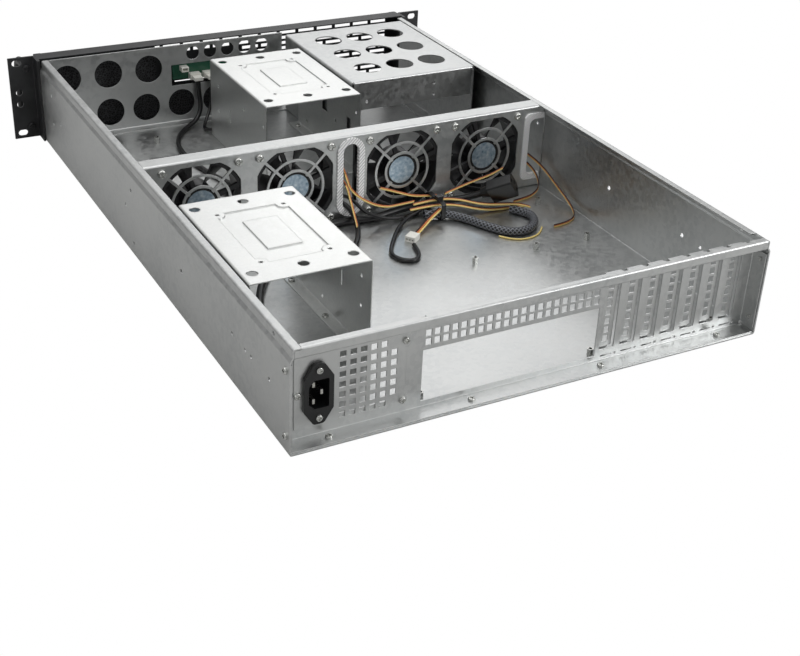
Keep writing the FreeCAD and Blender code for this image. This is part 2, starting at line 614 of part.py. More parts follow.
save("inlet_plate", make_inlet_plate())
save("power_inlet", make_power_inlet())
save("inlet_pins", Part.Compound(pin_blades(PLATE_FACE - INLET_BODY_DEPTH - PIN_TAIL, INLET_REAR - 2.5)))
save("inlet_screws", Part.Compound(
    [small_screw(x, PLATE_FACE, z, V(0, 1, 0), 4.0) for x, z in PLATE_SCREWS]
    + [pan_screw(x, INLET_REAR, z, V(0, 1, 0), 2.7, 1.8, SCREW_R, 7.0) for x, z in INLET_SCREW_AT]))
case_screws += [small_screw(x, FLOOR_SCREW_Y, 2 * SHEET, V(0, 0, 1), 2 * SHEET) for x in FLOOR_SCREW_X]
case_screws += [small_screw(side * HALF, REAR_SCREW_Y, z, V(side, 0, 0), 4.0)
                for side in (-1, 1) for z in REAR_SCREW_Z]

# ---------------------------------------------------------------- fan wall, fans and trims


def grille_opening(x, y0, y1):
    opening = box(x - FAN_OPENING / 2, x + FAN_OPENING / 2, y0, y1, FAN_Z - FAN_OPENING / 2,
                  FAN_Z + FAN_OPENING / 2)
    opening = opening.common(rod(x, y0, FAN_Z, FAN_OPENING_R, y1 - y0, V(0, 1, 0)))
    bars = []
    for outer, inner in GRILLE_RINGS:
        ring = rod(x, y0, FAN_Z, outer, y1 - y0, V(0, 1, 0))
        bars.append(ring.cut(rod(x, y0, FAN_Z, inner, y1 - y0, V(0, 1, 0))))
    for turn in (45, 135, 225, 315):
        spoke = box(x + GRILLE_RINGS[1][1] - 1, x + FAN_OPENING_R + 4, y0, y1, FAN_Z - SPOKE_WIDTH / 2,
                    FAN_Z + SPOKE_WIDTH / 2)
        spoke.rotate(V(x, 0, FAN_Z), V(0, 1, 0), turn)
        bars.append(spoke)
    return opening.cut(bars)


def make_fan_wall():
    rear = FAN_WALL_REAR
    y0, y1 = rear - SHEET - 0.5, rear + 0.5
    wall = fold_along_x([(rear - FAN_WALL_FOOT, SHEET), (rear, SHEET), (rear, HEIGHT),
                         (rear - FAN_WALL_FLANGE, HEIGHT)], -FIT, FIT)
    for side in (-1, 1):
        wall = wall.fuse(box(side * FIT, side * (FIT - SHEET), rear - 14, rear - 0.5, 5, 75))
    cuts = [grille_opening(x, y0, y1) for x in FAN_X]
    cuts += round_holes_y([(x + sx * FAN_HALF_SCREW, FAN_Z + sz * FAN_HALF_SCREW) for x in FAN_X
                           for sx in (-1, 1) for sz in (-1, 1)], WALL_SCREW_CLEAR_R, y0, y1)
    cx, cz, cw, ch = CENTRE_SLOT
    cuts.append(obround_y(cx, cz, cw + 2 * TRIM_EDGE, ch + 2 * TRIM_EDGE, y0, y1))
    left, low, high = SIDE_SLOT
    cuts.append(box(left + TRIM_EDGE, -FIT + SHEET, y0, y1, low - TRIM_EDGE, high + TRIM_EDGE))
    for side in (-1, 1):
        cuts.append(flange_notch(side, rear - 20, rear + 1))
        cuts += [rod(side * (HALF + 1), rear - FAN_WALL_SCREW_Y, z, SCREW_HOLE_R, 6, V(-side, 0, 0))
                 for z in FAN_WALL_SCREW_Z]
    return between_walls(wall.cut(cuts))


def make_centre_trim():
    cx, cz, cw, ch = CENTRE_SLOT
    y0, y1 = FAN_WALL_REAR - SHEET - TRIM_LIP, FAN_WALL_REAR + TRIM_LIP
    ring = obround_y(cx, cz, cw + 2 * TRIM_REACH, ch + 2 * TRIM_REACH, y0, y1)
    ring = ring.cut(obround_y(cx, cz, cw, ch, y0 - 1, y1 + 1))
    wall = obround_y(cx, cz, 60, 120, FAN_WALL_REAR - SHEET, FAN_WALL_REAR)
    wall = wall.cut(obround_y(cx, cz, cw + 2 * TRIM_EDGE, ch + 2 * TRIM_EDGE,
                              FAN_WALL_REAR - 5, FAN_WALL_REAR + 5))
    return ring.cut(wall)


def make_side_trim():
    left, low, high = SIDE_SLOT
    right = -FIT + SHEET + 1.2
    y0, y1 = FAN_WALL_REAR - SHEET - TRIM_LIP, FAN_WALL_REAR + TRIM_LIP

    def blank(grow, a, b):
        points = [(right, low - grow), (left + grow, low - grow), (left + grow, high + grow),
                  (right, high + grow)]
        return prism(points, [0, TRIM_CORNER, TRIM_CORNER, 0], lambda u, v: V(u, a, v), V(0, b - a, 0))
    trim = blank(TRIM_REACH, y0, y1).cut(blank(0, y0 - 1, y1 + 1).fuse(
        box(right - 1, right + 3, y0 - 1, y1 + 1, low, high)))
    wall = box(right - 1, left + 40, FAN_WALL_REAR - SHEET, FAN_WALL_REAR, 0, HEIGHT)
    wall = wall.cut(box(left + TRIM_EDGE, right - 2, 0, 400, low - TRIM_EDGE, high + TRIM_EDGE))
    return trim.cut(wall)


save("fan_wall", make_fan_wall())
save("slot_trim_centre", make_centre_trim())
save("slot_trim_side", make_side_trim())


def make_fan_frame(x):
    y0, y1 = FAN_FRONT, FAN_FRONT + FAN_DEPTH
    half = FAN_SIZE / 2
    corners = [(x - half, FAN_Z - half), (x + half, FAN_Z - half), (x + half, FAN_Z + half),
               (x - half, FAN_Z + half)]
    flange = prism(corners, [4.0] * 4, lambda u, v: V(u, y0, v), V(0, FAN_FLANGE, 0))
    back = flange.copy()
    back.translate(V(0, FAN_DEPTH - FAN_FLANGE, 0))
    duct = rod(x, y0, FAN_Z, half, FAN_DEPTH, V(0, 1, 0))
    frame = flange.fuse([back, duct]).cut(rod(x, y0 - 1, FAN_Z, FAN_BORE_R, FAN_DEPTH + 2, V(0, 1, 0)))
    parts = [rod(x, y1 - FAN_FLANGE, FAN_Z, MOTOR_PLATE_R, FAN_FLANGE, V(0, 1, 0)),
             rod(x, y0 + 5, FAN_Z, MOTOR_TUBE_R, FAN_DEPTH - 6, V(0, 1, 0))]
    for turn in (20, 110, 200, 290):
        strut = box(x + MOTOR_PLATE_R - 1.5, x + half - 0.5, y1 - STRUT_DEPTH, y1,
                    FAN_Z - STRUT_WIDTH / 2, FAN_Z + STRUT_WIDTH / 2)
        strut.rotate(V(x, 0, FAN_Z), V(0, 1, 0), turn)
        parts.append(strut)
    frame = frame.fuse(parts)
    cuts = [rod(x, y0, FAN_Z, FAN_SHAFT_R + RUNNING_CLEAR, FAN_DEPTH - 5, V(0, 1, 0))]
    cuts += round_holes_y([(x + sx * FAN_HALF_SCREW, FAN_Z + sz * FAN_HALF_SCREW)
                           for sx in (-1, 1) for sz in (-1, 1)], FAN_HOLE_R, y0 - 1, y1 + 1)
    return frame.cut(cuts)


def make_fan_rotor(x):
    y0 = FAN_FRONT + 1.5
    length = FAN_DEPTH - 6.5
    hub = rod(x, y0, FAN_Z, FAN_HUB_R, length, V(0, 1, 0))
    hub = hub.makeFillet(1.5, [e for e in hub.Edges if e.Closed and abs(e.BoundBox.YMax - y0) < 1e-6])
    hub = hub.cut(rod(x, y0 + 2, FAN_Z, FAN_HUB_R - HUB_WALL, length, V(0, 1, 0)))
    pieces = [rod(x, y0 + 1, FAN_Z, FAN_SHAFT_R, FAN_DEPTH - 9, V(0, 1, 0))]
    limit = rod(x, y0, FAN_Z, FAN_BLADE_R, length, V(0, 1, 0))
    for i in range(FAN_BLADES):
        sections = []
        for radius, front, back in ((FAN_HUB_R - 1.0, -5.0, 5.5), (FAN_BLADE_R + 1.5, -12.5, 9.5)):
            thick = 0.8
            shape = [V(x + front, y0 + 1.5, FAN_Z + radius),
                     V(x + front + 2 * thick, y0 + 1.5, FAN_Z + radius),
                     V(x + back + thick, y0 + length - 1.0, FAN_Z + radius),
                     V(x + back - thick, y0 + length - 1.0, FAN_Z + radius)]
            sections.append(Part.makePolygon(shape + shape[:1]))
        blade = Part.makeLoft(sections, True, True).common(limit)
        blade.rotate(V(x, 0, FAN_Z), V(0, 1, 0), i * 360.0 / FAN_BLADES)
        pieces.append(blade)
    return hub.fuse(pieces)


fan_frame, fan_rotor = make_fan_frame(0.0), make_fan_rotor(0.0)
for number, fan_x in enumerate(FAN_X, 1):
    frame_copy, rotor_copy = fan_frame.copy(), fan_rotor.copy()
    rotor_copy.rotate(V(0, 0, FAN_Z), V(0, 1, 0), ROTOR_TURN * number)
    frame_copy.translate(V(fan_x, 0, 0))
    rotor_copy.translate(V(fan_x, 0, 0))
    save("fan_frame_%d" % number, frame_copy)
    save("fan_rotor_%d" % number, rotor_copy)

save("fan_labels", Part.Compound([
    rod(x, FAN_WALL_REAR - SHEET, FAN_Z, LABEL_R, LABEL_THICK, V(0, 1, 0)) for x in FAN_X]))
save("fan_screws", Part.Compound([
    pan_screw(x + sx * FAN_HALF_SCREW, FAN_WALL_REAR, FAN_Z + sz * FAN_HALF_SCREW, V(0, 1, 0),
              3.9, 2.4, FAN_SCREW_R, 5.0) for x in FAN_X for sx in (-1, 1) for sz in (-1, 1)]))

# ---------------------------------------------------------------- drive cages


def make_cage(x0, x1, y0, y1, holes, slots):
    cage = fold_along_y([(x1 - CAGE_FOOT, SHEET), (x1, SHEET), (x1, CAGE_TOP), (x0, CAGE_TOP),
                         (x0, SHEET), (x0 + CAGE_FOOT, SHEET)], y0, y1, CAGE_SHEET)
    cx = (x0 + x1) / 2
    rw, rl, back = CAGE_RECESS
    ry1 = y1 - back
    ry0 = ry1 - rl
    rcy = (ry0 + ry1) / 2
    low = CAGE_TOP - CAGE_STEP
    pan = box(cx - rw / 2 - 1, cx + rw / 2 + 1, ry0 - 1, ry1 + 1, low - CAGE_SHEET, low)
    dish = box(cx - rw / 2, cx + rw / 2, ry0, ry1, low, CAGE_TOP + 1)
    opening = box(cx - rw / 2, cx + rw / 2, ry0, ry1, low - 1, CAGE_TOP + 1)
    raised = box(cx - CAGE_RAISED[0] / 2, cx + CAGE_RAISED[0] / 2, rcy - CAGE_RAISED[1] / 2,
                 rcy + CAGE_RAISED[1] / 2, low, CAGE_TOP)
    bosses = [rod(cx + sx * (rw / 2 - 2), rcy + sy * (rl / 2 - 2), low, BOSS_R, CAGE_STEP, V(0, 0, 1))
              for sx in (-1, 1) for sy in (-1, 1)]
    cage = cage.cut(opening).fuse([pan.cut(dish), raised] + bosses)
    cuts = [rod(cx + sx * (rw / 2 - 2), rcy + sy * (rl / 2 - 2), 80, 1.75, 10, V(0, 0, 1))
            for sx in (-1, 1) for sy in (-1, 1)]
    cuts += [rod(cx + dx, y1 - dy, 80, CAGE_HOLE_R, 10, V(0, 0, 1))
             for dx in (-CAGE_HOLE_X, 0, CAGE_HOLE_X) for dy in CAGE_HOLE_Y]
    for side, wall in ((-1, x0), (1, x1)):
        cuts += [rod(wall + 2 * side, y0 + dy, z, 1.7, 6, V(-side, 0, 0)) for dy, z in holes[side]]
        cuts += [box(wall - 3, wall + 3, y0 + ya, y0 + yb, za, zb) for ya, yb, za, zb in slots[side]]
        cuts += [rod(wall - side * CAGE_FOOT_SCREW, y0 + dy, 0, SCREW_HOLE_R, 5, V(0, 0, 1))
                 for dy in CAGE_SCREWS]
    return cage.cut(cuts)


def cage_screws(x0, x1, y0):
    return [small_screw(x, y0 + dy, SHEET + CAGE_SHEET, V(0, 0, 1), CAGE_SHEET)
            for x in (x0 + CAGE_FOOT_SCREW, x1 - CAGE_FOOT_SCREW) for dy in CAGE_SCREWS]


save("drive_cage_rear", make_cage(*CAGE_REAR, {-1: DRIVE_HOLES, 1: DRIVE_HOLES},
                                  {-1: [(97.5, 99.5, 38.3, 52.1)], 1: []}))
save("drive_cage_front", make_cage(
    *CAGE_FRONT,
    {-1: [(-4.5 + 27, 10.4), (94.5, 37.2), (141.5, 62.9), (14, 64), (14, 37)],
     1: [(23.0, 64.0), (23.0, 36.8), (91.9, 63.0), (143.0, 63.0)]},
    {-1: [(60.5, 73.5, 38.7, 52.4), (119.5, 130.5, 38.0, 51.5)], 1: [(54.0, 56.0, 35.0, 50.0)]}))
case_screws += cage_screws(*CAGE_REAR[:3]) + cage_screws(*CAGE_FRONT[:3])
save("case_screws", Part.Compound(case_screws))

# ---------------------------------------------------------------- front bay cover


def make_bay_cover():
    x0, x1, y0, y1 = BAY_RIGHT, BAY_LEFT, BAY_FRONT, BAY_REAR
    cover = fold_along_y([(x1 - BAY_FOOT, SHEET), (x1, SHEET), (x1, HEIGHT), (x0, HEIGHT),
                          (x0, SHEET), (x0 + BAY_FOOT, SHEET)], y0, y1)
    notch = box(x0 - 1, x1 + 1, y1 - SHEET, y1 + 1, 0, HEIGHT + 1)
    flap = fold_along_x([(y1, BAY_FLAP_Z), (y1, HEIGHT), (y1 - 8, HEIGHT)], x0 + 3, x1 - 3)
    corner = box(x0 + 3, x1 - 3, y1 - 4, y1 + 1, HEIGHT - SHEET - 3, HEIGHT + 1)
    cover = cover.cut([notch, corner]).fuse(flap)
    cuts = [rod(x, y, HEIGHT - 5, BAY_HOLE_R, 10, V(0, 0, 1)) for x, y in BAY_HOLES]
    cuts += round_holes_y(((-154.5, 76.3), (-155.0, 63.8), (-76.0, 66.0)), 1.7, y1 - 4, y1 + 4)
    return cover.cut(cuts)


save("bay_cover", make_bay_cover())

# ---------------------------------------------------------------- bezel


def make_bezel():
    front = fold_along_x([(11.0, HEIGHT), (BEZEL_FRONT, HEIGHT), (BEZEL_FRONT, SHEET),
                          (10.0, SHEET)], -HALF, HALF)
    sides = []
    for side in (-1, 1):
        points, radii = folded_outline(on_side(
            [(HALF - 8, BEZEL_FRONT), (HALF, BEZEL_FRONT), (HALF, BEZEL_RETURN)], side), SHEET)
        sides.append(prism(points, radii, lambda u, v: V(u, v, SHEET), V(0, 0, HEIGHT - SHEET)))
        front = front.cut(box(side * (HALF - 4), side * (HALF + 1), BEZEL_FRONT - 1, 12, 0, HEIGHT + 1))
    shell = front.fuse(sides)
    cap = box(-HALF, HALF, BEZEL_FRONT + 1.0, 11.0, HEIGHT - SHEET, HEIGHT)
    shell = shell.fuse(cap)
    width, height = GRILLE_SLOT
    cuts = []
    for row in range(GRILLE_ROWS):
        z = GRILLE_TOP - GRILLE_PITCH[1] * row
        phase = GRILLE_PHASE + (GRILLE_PITCH[0] / 2 if row % 2 else 0)
        for step in range(-7, 14):
            x = phase + GRILLE_PITCH[0] * step
            low, high = max(x - width / 2, -GRILLE_LIMIT), min(x + width / 2, GRILLE_LIMIT)
            inside = (high > CONTROL_AREA[0] and low < CONTROL_AREA[1]
                      and z > CONTROL_AREA[2] and z < CONTROL_AREA[3])
            if high - low > 4 and not inside:
                cuts.append(box(low, high, BEZEL_FRONT - 1, BEZEL_FRONT + 2, z - height / 2,
                                z + height / 2))
    y0, y1 = BEZEL_FRONT - 1, BEZEL_FRONT + 3
    cuts += round_holes_y((BUTTON_AT,), BUTTON_R, y0, y1)
    cuts += round_holes_y((RESET_AT,), RESET_R, y0, y1)
    cuts += round_holes_y(LED_AT, LED_R, y0, y1)
    cuts += square_holes_y(USB_AT, USB_SIZE[0] + 0.2, USB_SIZE[1] + 0.2, y0, y1)
    posts = [rod(x, BEZEL_BACK - 0.2, z, BOARD_POST_R, BOARD_FRONT - BEZEL_BACK + 0.2, V(0, 1, 0))
             for x, z in ((65.8, 48.4), (65.8, 62.1), (17.5, 62.1), (17.5, 48.4))]
    return shell.cut(cuts).fuse(posts)


save("front_bezel", make_bezel())

foam_low, foam_high = SHEET * 2 + 1, HEIGHT - SHEET - 1
foam = [box(84.0, FIT - FOAM_EDGE, BEZEL_BACK, BEZEL_BACK + FOAM_DEPTH, foam_low, foam_high),
        box(-54.0, 84.0, BEZEL_BACK, BEZEL_BACK + FOAM_DEPTH, foam_low, 38.0)]
save("filter_foam", foam[0].fuse(foam[1]).removeSplitter())

# ---------------------------------------------------------------- front board, ports and buttons
x0, x1, z0, z1 = BOARD_BOX
board_rear = BOARD_FRONT + BOARD_SHEET
save("io_board", box(x0, x1, BOARD_FRONT, board_rear, z0, z1))


def header(x, z, width, height):
    shell = box(x - width / 2, x + width / 2, board_rear, board_rear + 9, z - height / 2,
                z + height / 2)
    return shell.cut(box(x - width / 2 + HEADER_WALL, x + width / 2 - HEADER_WALL, board_rear + 2,
                         board_rear + 10, z - height / 2 + HEADER_WALL, z + height / 2 - HEADER_WALL))


save("board_headers", Part.Compound([header(*h) for h in HEADERS]))


def push_button(x, z, radius, proud):
    face = BEZEL_FRONT - proud
    cap = rod(x, face, z, radius - RUNNING_CLEAR, BEZEL_BACK - face, V(0, 1, 0))
    cap = cap.makeFillet(0.5, [e for e in cap.Edges if e.Closed and e.BoundBox.YMax < face + 0.01])
    collar = rod(x, BEZEL_BACK, z, radius + 1.2, 1.0, V(0, 1, 0))
    stem = rod(x, BEZEL_BACK, z, 1.4, BOARD_FRONT - 4 - BEZEL_BACK, V(0, 1, 0))
    return cap.fuse([collar, stem])


def switch_body(x, z, size):
    body = box(x - size / 2, x + size / 2, BOARD_FRONT - 7, BOARD_FRONT, z - size / 2, z + size / 2)
    return body.cut(rod(x, BOARD_FRONT - 8, z, 1.4 + RUNNING_CLEAR, 6.5, V(0, 1, 0)))


save("power_button", push_button(*BUTTON_AT, BUTTON_R, 2.6))
save("reset_button", push_button(*RESET_AT, RESET_R, 0.6))
save("switch_bodies", Part.Compound([switch_body(*BUTTON_AT, 11.0), switch_body(*RESET_AT, 6.0)]))


def usb_port(x, z):
    w, h = USB_SIZE
    y0 = BEZEL_FRONT + 0.2
    shell = box(x - w / 2, x + w / 2, y0, BOARD_FRONT, z - h / 2, z + h / 2)
    inner = box(x - w / 2 + 0.5, x + w / 2 - 0.5, y0 - 1, BOARD_FRONT - 1, z - h / 2 + 0.5,
                z + h / 2 - 0.5)
    tongue = box(x - w / 2 + 0.4, x - w / 2 + 2.2, y0 + 0.6, BOARD_FRONT - 0.5, z - 5.4, z + 5.4)
    return shell.cut(inner).fuse(tongue)


save("usb_ports", Part.Compound([usb_port(*at) for at in USB_AT]))
save("status_leds", Part.Compound([
    rod(x, BEZEL_FRONT - 0.4, z, LED_R - 0.3, BOARD_FRONT - BEZEL_FRONT + 0.4, V(0, 1, 0))
    for x, z in LED_AT]))

# ---------------------------------------------------------------- ears and handles


def make_ear(side):
    points, radii = folded_outline(on_side(
        [(HALF, BEZEL_RETURN), (HALF, -EAR_SHEET), (RACK_WIDTH / 2, -EAR_SHEET)], side), EAR_SHEET)
    ear = prism(points, radii, lambda u, v: V(u, v, 0), V(0, 0, HEIGHT))
    y0, y1 = -EAR_SHEET - 1, 1
    cuts = [obround_y(side * EAR_SLOT_X, z, EAR_SLOT[0], EAR_SLOT[1], y0, y1) for z in EAR_SLOT_Z]
    cuts += round_holes_y([(side * EAR_SLOT_X, z) for z in EAR_HOLE_Z], 3.5, y0, y1)
    cuts += round_holes_y([(side * HANDLE_X, z) for z in HANDLE_Z], EAR_SCREW_HOLE_R, y0, y1)
    return ear.cut(cuts)


def make_handle(side):
    x = side * HANDLE_X
    y0, y1 = -EAR_SHEET, -EAR_SHEET - HANDLE_REACH + HANDLE_ROD_R
    low, high = HANDLE_Z
    bend = 12.0
    wire = [Part.LineSegment(V(x, y0, low), V(x, y1 + bend, low)).toShape(),
            Part.Arc(V(x, y1 + bend, low), V(x, y1 + bend * (1 - math.sin(math.pi / 4)),
                                             low + bend * (1 - math.cos(math.pi / 4))),
                     V(x, y1, low + bend)).toShape(),
            Part.LineSegment(V(x, y1, low + bend), V(x, y1, high - bend)).toShape(),
            Part.Arc(V(x, y1, high - bend), V(x, y1 + bend * (1 - math.sin(math.pi / 4)),
                                              high - bend * (1 - math.cos(math.pi / 4))),
                     V(x, y1 + bend, high)).toShape(),
            Part.LineSegment(V(x, y1 + bend, high), V(x, y0, high)).toShape()]
    ring = Part.Wire(Part.makeCircle(HANDLE_ROD_R, V(x, y0, low), V(0, 1, 0)).Edges)
    bar = Part.Wire(wire).makePipeShell([ring], True, False)
    holes = [rod(x, y0 + 1, z, EAR_SCREW_HOLE_R, 10, V(0, -1, 0)) for z in HANDLE_Z]
    return bar.cut(holes)


for side, word in ((1, "left"), (-1, "right")):
    save("ear_%s" % word, make_ear(side))
    save("handle_%s" % word, make_handle(side))
save("ear_screws", Part.Compound([
    pan_screw(side * HANDLE_X, 0, z, V(0, 1, 0), 3.8, 2.2, EAR_SCREW_R, 9.0)
    for side in (-1, 1) for z in HANDLE_Z]))

# ---------------------------------------------------------------- standoffs


def standoff(x, y):
    sides = [(x + 2.9 * math.cos(math.radians(a)), y + 2.9 * math.sin(math.radians(a)))
             for a in range(0, 360, 60)]
    post = prism(sides, [0] * 6, lambda u, v: V(u, v, SHEET), V(0, 0, STANDOFF_H))
    return post.cut(rod(x, y, SHEET + 1.5, 1.5, STANDOFF_H, V(0, 0, 1)))


save("standoffs", Part.Compound([standoff(x, y) for x, y in BOARD_POSTS]))


# ---------------------------------------------------------------- cables


def cord_line(points):
    """Straight runs joined by tangent arcs; also gives the tightest arc's radius."""
    pts = [V(*p) for p in points]
    edges, tightest = [], 1e9
    last = pts[0]
    for before, here, after in zip(pts, pts[1:], pts[2:]):
        into, out = (here - before), (after - here)
        shorter = min(into.Length, out.Length)
        half_turn = into.getAngle(out) / 2
        run = ARC_SHARE * shorter
        radius = run / math.tan(half_turn)
        tightest = min(tightest, radius)
        into.normalize()
        out.normalize()
        enter, leave = here - into * run, here + out * run
        inward = out - into
        inward.normalize()
        mid = here + inward * (radius / math.cos(half_turn) - radius)
        edges.append(Part.LineSegment(last, enter).toShape())
        edges.append(Part.Arc(enter, mid, leave).toShape())
        last = leave
    edges.append(Part.LineSegment(last, pts[-1]).toShape())
    return Part.Wire(edges), tightest


def cord(points, diameter):
    """A round cable along hand-placed points."""
    line, tightest = cord_line(points)
    start = V(*points[1]) - V(*points[0])
    ring = Part.Wire([Part.makeCircle(diameter / 2, V(*points[0]), start)])
    tube = line.makePipeShell([ring], True, False)
    share = tube.Volume / (math.pi * diameter ** 2 / 4 * line.Length)
    print("cord of %.1f: length %.1f, tightest arc %.1f, volume ratio %.3f" % (
        diameter, line.Length, tightest, share))
    return tube


def wire_set(points, across, count):
    """Thin wires side by side; across is the step from one to the next."""
    tubes = []
    for i in range(count):
        offset = (i - (count - 1) / 2)
        tubes.append(cord([(x + across[0] * offset, y + across[1] * offset, z + across[2] * offset)
                           for x, y, z in points], WIRE_D))
    return tubes


save("inlet_lead", cord(INLET_LEAD, INLET_LEAD_D))
save("sleeved_loop", cord(SLEEVE_LOOP, SLEEVE_D))
save("short_loop", cord(SHORT_LOOP, LOOP_D))
save("front_cable", cord(FRONT_CABLE, FRONT_CABLE_D))
save("usb_cable", cord(USB_CABLE, USB_CABLE_D))
save("side_loop_small", cord(SIDE_LOOP_SMALL, SIDE_LOOP_D))
save("side_loop_large", cord(SIDE_LOOP_LARGE, SIDE_LOOP_D))
for number, points in enumerate(FAN_LEADS, 1):
    save("fan_lead_%d" % number, cord(points, FAN_LEAD_D))
colours = ("orange", "yellow", "brown")
ribbon_wires = [wire_set(points, (0.2 * RIBBON_STEP, 0.98 * RIBBON_STEP, 0), 3) for points in RIBBONS]
plug_wires = wire_set(PLUG_WIRES, (-0.59 * RIBBON_STEP, 0.81 * RIBBON_STEP, 0), 3)
for i, colour in enumerate(colours):
    solids = [ribbon_wires[0][i], ribbon_wires[1][i], plug_wires[i]]
    if colour == "yellow":
        solids.append(cord(THIN_LOOP, WIRE_D))
    save("wires_" + colour, Part.Compound(solids))


# ---------------------------------------------------------------- what is on the cables
def make_boot():
    w, h, length = INLET_BOOT
    y1 = PLATE_FACE - INLET_BODY_DEPTH
    boot = prism([(INLET_X - w / 2, INLET_Z - h / 2), (INLET_X + w / 2, INLET_Z - h / 2),
                  (INLET_X + w / 2, INLET_Z + h / 2), (INLET_X - w / 2, INLET_Z + h / 2)],
                 [4.0] * 4, lambda u, v: V(u, y1 - length, v), V(0, length, 0))
    return boot.cut(pin_blades(y1 - PIN_TAIL - 1, y1 + 1))


def make_c13_plug():
    length, width, height = PLUG_SIZE
    across, high = width / 2, height / 2
    mouth = [(-across, -high), (across, -high), (across, high - PLUG_CHAMFER),
             (across - PLUG_CHAMFER, high), (PLUG_CHAMFER - across, high),
             (-across, high - PLUG_CHAMFER)]
    body = prism(mouth, [2.0] * 6, lambda u, v: V(PLUG_RELIEF, u, v), V(length - PLUG_RELIEF, 0, 0))
    neck = Part.makeCone(4.8, 6.8, PLUG_RELIEF + 1, V(0, 0, 0), V(1, 0, 0))
    deep, wide, tall = PLUG_SLOT
    slots = [box(length - deep, length + 1, a - wide / 2, a + wide / 2, b - tall / 2, b + tall / 2)
             for a, b in ((-7.0, -1.5), (7.0, -1.5), (0.0, 2.5))]
    plug = body.fuse(neck).cut(slots)
    plug.Placement = FreeCAD.Placement(V(*PLUG_AT), FreeCAD.Rotation(V(1, 0, 0), PLUG_AXIS))
    return plug


def make_fan_plug():
    plug = box(*FAN_PLUG_BOX)
    half = FAN_PLUG_HOLE / 2
    plug = plug.cut([box(FAN_PLUG_BOX[1] - 8, FAN_PLUG_BOX[1] + 1, a - half, a + half, -half, half)
                     for a in (-FAN_PLUG_PITCH, 0.0, FAN_PLUG_PITCH)])
    plug.rotate(V(0, 0, 0), V(0, 0, 1), FAN_PLUG_TURN)
    plug.translate(V(*FAN_PLUG_AT))
    return plug


def cable_plug(x, z, width, height):
    """Fills a header with a little play and stands out behind it, over the cable's end."""
    half_w, half_h = width / 2 - HEADER_WALL - CABLE_PLUG_PLAY, height / 2 - HEADER_WALL - CABLE_PLUG_PLAY
    return box(x - half_w, x + half_w, board_rear + 3.0, FRONT_CABLE[0][1] + 3.0, z - half_h, z + half_h)


def make_tie():
    wide, reach, high, thick = TIE_SIZE
    x, y, z = TIE_AT

    def ring(shrink, corner, half):
        low_y, high_y = y - reach / 2 + shrink, y + reach / 2 - shrink
        low_z, high_z = z - high / 2 + shrink, z + high / 2 - shrink
        corners = [(low_y, low_z), (high_y, low_z), (high_y, high_z), (low_y, high_z)]
        return prism(corners, [corner] * 4, lambda u, v: V(x - half, u, v), V(2 * half, 0, 0))
    head = box(x - 3.4, x + 3.4, y + 3, y + 8.5, z + high / 2, z + high / 2 + 3.6)
    return ring(0, 4.0, wide / 2).cut(ring(thick, 3.0, wide)).fuse(head)


save("inlet_boot", make_boot())
save("c13_plug", make_c13_plug())
save("fan_plug", make_fan_plug())
save("front_plugs", Part.Compound([cable_plug(*h) for h in HEADERS[:2]]))
save("cable_tie", make_tie())


# ---------------------------------------------------------------- write
for name, shape in sorted(made.items()):
    moved = shape.copy()
    moved.translate(V(0, ROW_SHIFT, 0))
    moved.exportStep("parts/%s.step" % name)
    print("%-22s solids %2d  volume %10.1f  valid %s" % (
        name, len(moved.Solids), moved.Volume, moved.isValid()))
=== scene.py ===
# %% [markdown]
# # An open 2U server case, dressed for a studio picture
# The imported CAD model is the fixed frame: its sheet metal, fans and screws keep their place and
# get procedural materials. Cables are drawn again as smooth curves, and where the solids show
# one tube for several coloured wires, each wire gets its own curve.
#
# Lengths are in metres. The mains inlet is at the rear, on +Y, and Z is up.

# %% Load the frame
import math
import bpy
from mathutils import Matrix, Vector


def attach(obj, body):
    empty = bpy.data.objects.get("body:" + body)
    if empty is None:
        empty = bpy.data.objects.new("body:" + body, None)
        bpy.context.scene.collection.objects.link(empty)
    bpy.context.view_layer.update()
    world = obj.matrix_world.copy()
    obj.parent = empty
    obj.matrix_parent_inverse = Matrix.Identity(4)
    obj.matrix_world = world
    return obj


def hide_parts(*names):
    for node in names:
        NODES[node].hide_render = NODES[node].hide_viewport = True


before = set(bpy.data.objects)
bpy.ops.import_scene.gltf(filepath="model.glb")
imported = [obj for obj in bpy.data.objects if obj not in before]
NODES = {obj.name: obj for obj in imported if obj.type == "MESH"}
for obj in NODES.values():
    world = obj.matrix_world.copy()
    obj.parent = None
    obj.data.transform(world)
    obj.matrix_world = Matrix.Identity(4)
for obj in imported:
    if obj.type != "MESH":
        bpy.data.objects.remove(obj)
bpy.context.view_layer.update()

CHASSIS = "chassis"
MM, MICRON = 1e-3, 1e-6

# %% [markdown]
# The camera looks down on the rear of the case from the mains inlet's side, with a slight roll.

# %% Camera
CAMERA_AT = Vector((0.5338, 1.0659, 0.5626))
AZIMUTH, ELEVATION, ROLL = math.radians(29.37), math.radians(29.98), math.radians(2.73)
LENS_MM = 61.0


def camera_turn(azimuth, elevation, roll):
    """Rotation of a camera at that azimuth from +Y towards +X, looking back at the object."""
    away = Vector((math.sin(azimuth) * math.cos(elevation),
                   math.cos(azimuth) * math.cos(elevation), math.sin(elevation)))
    right = (-away).cross(Vector((0, 0, 1))).normalized()
    up = right.cross(-away)
    rolled_right = right * math.cos(roll) + up * math.sin(roll)
    rolled_up = up * math.cos(roll) - right * math.sin(roll)
    return Matrix((rolled_right, rolled_up, away)).transposed()


camera = bpy.data.objects.new("camera", bpy.data.cameras.new("camera"))
bpy.context.scene.collection.objects.link(camera)
camera.data.lens = LENS_MM
camera.data.clip_start = 0.01
camera.matrix_world = Matrix.Translation(CAMERA_AT) @ camera_turn(AZIMUTH, ELEVATION, ROLL).to_4x4()
bpy.context.scene.camera = camera
bpy.context.scene.view_settings.view_transform = "Standard"

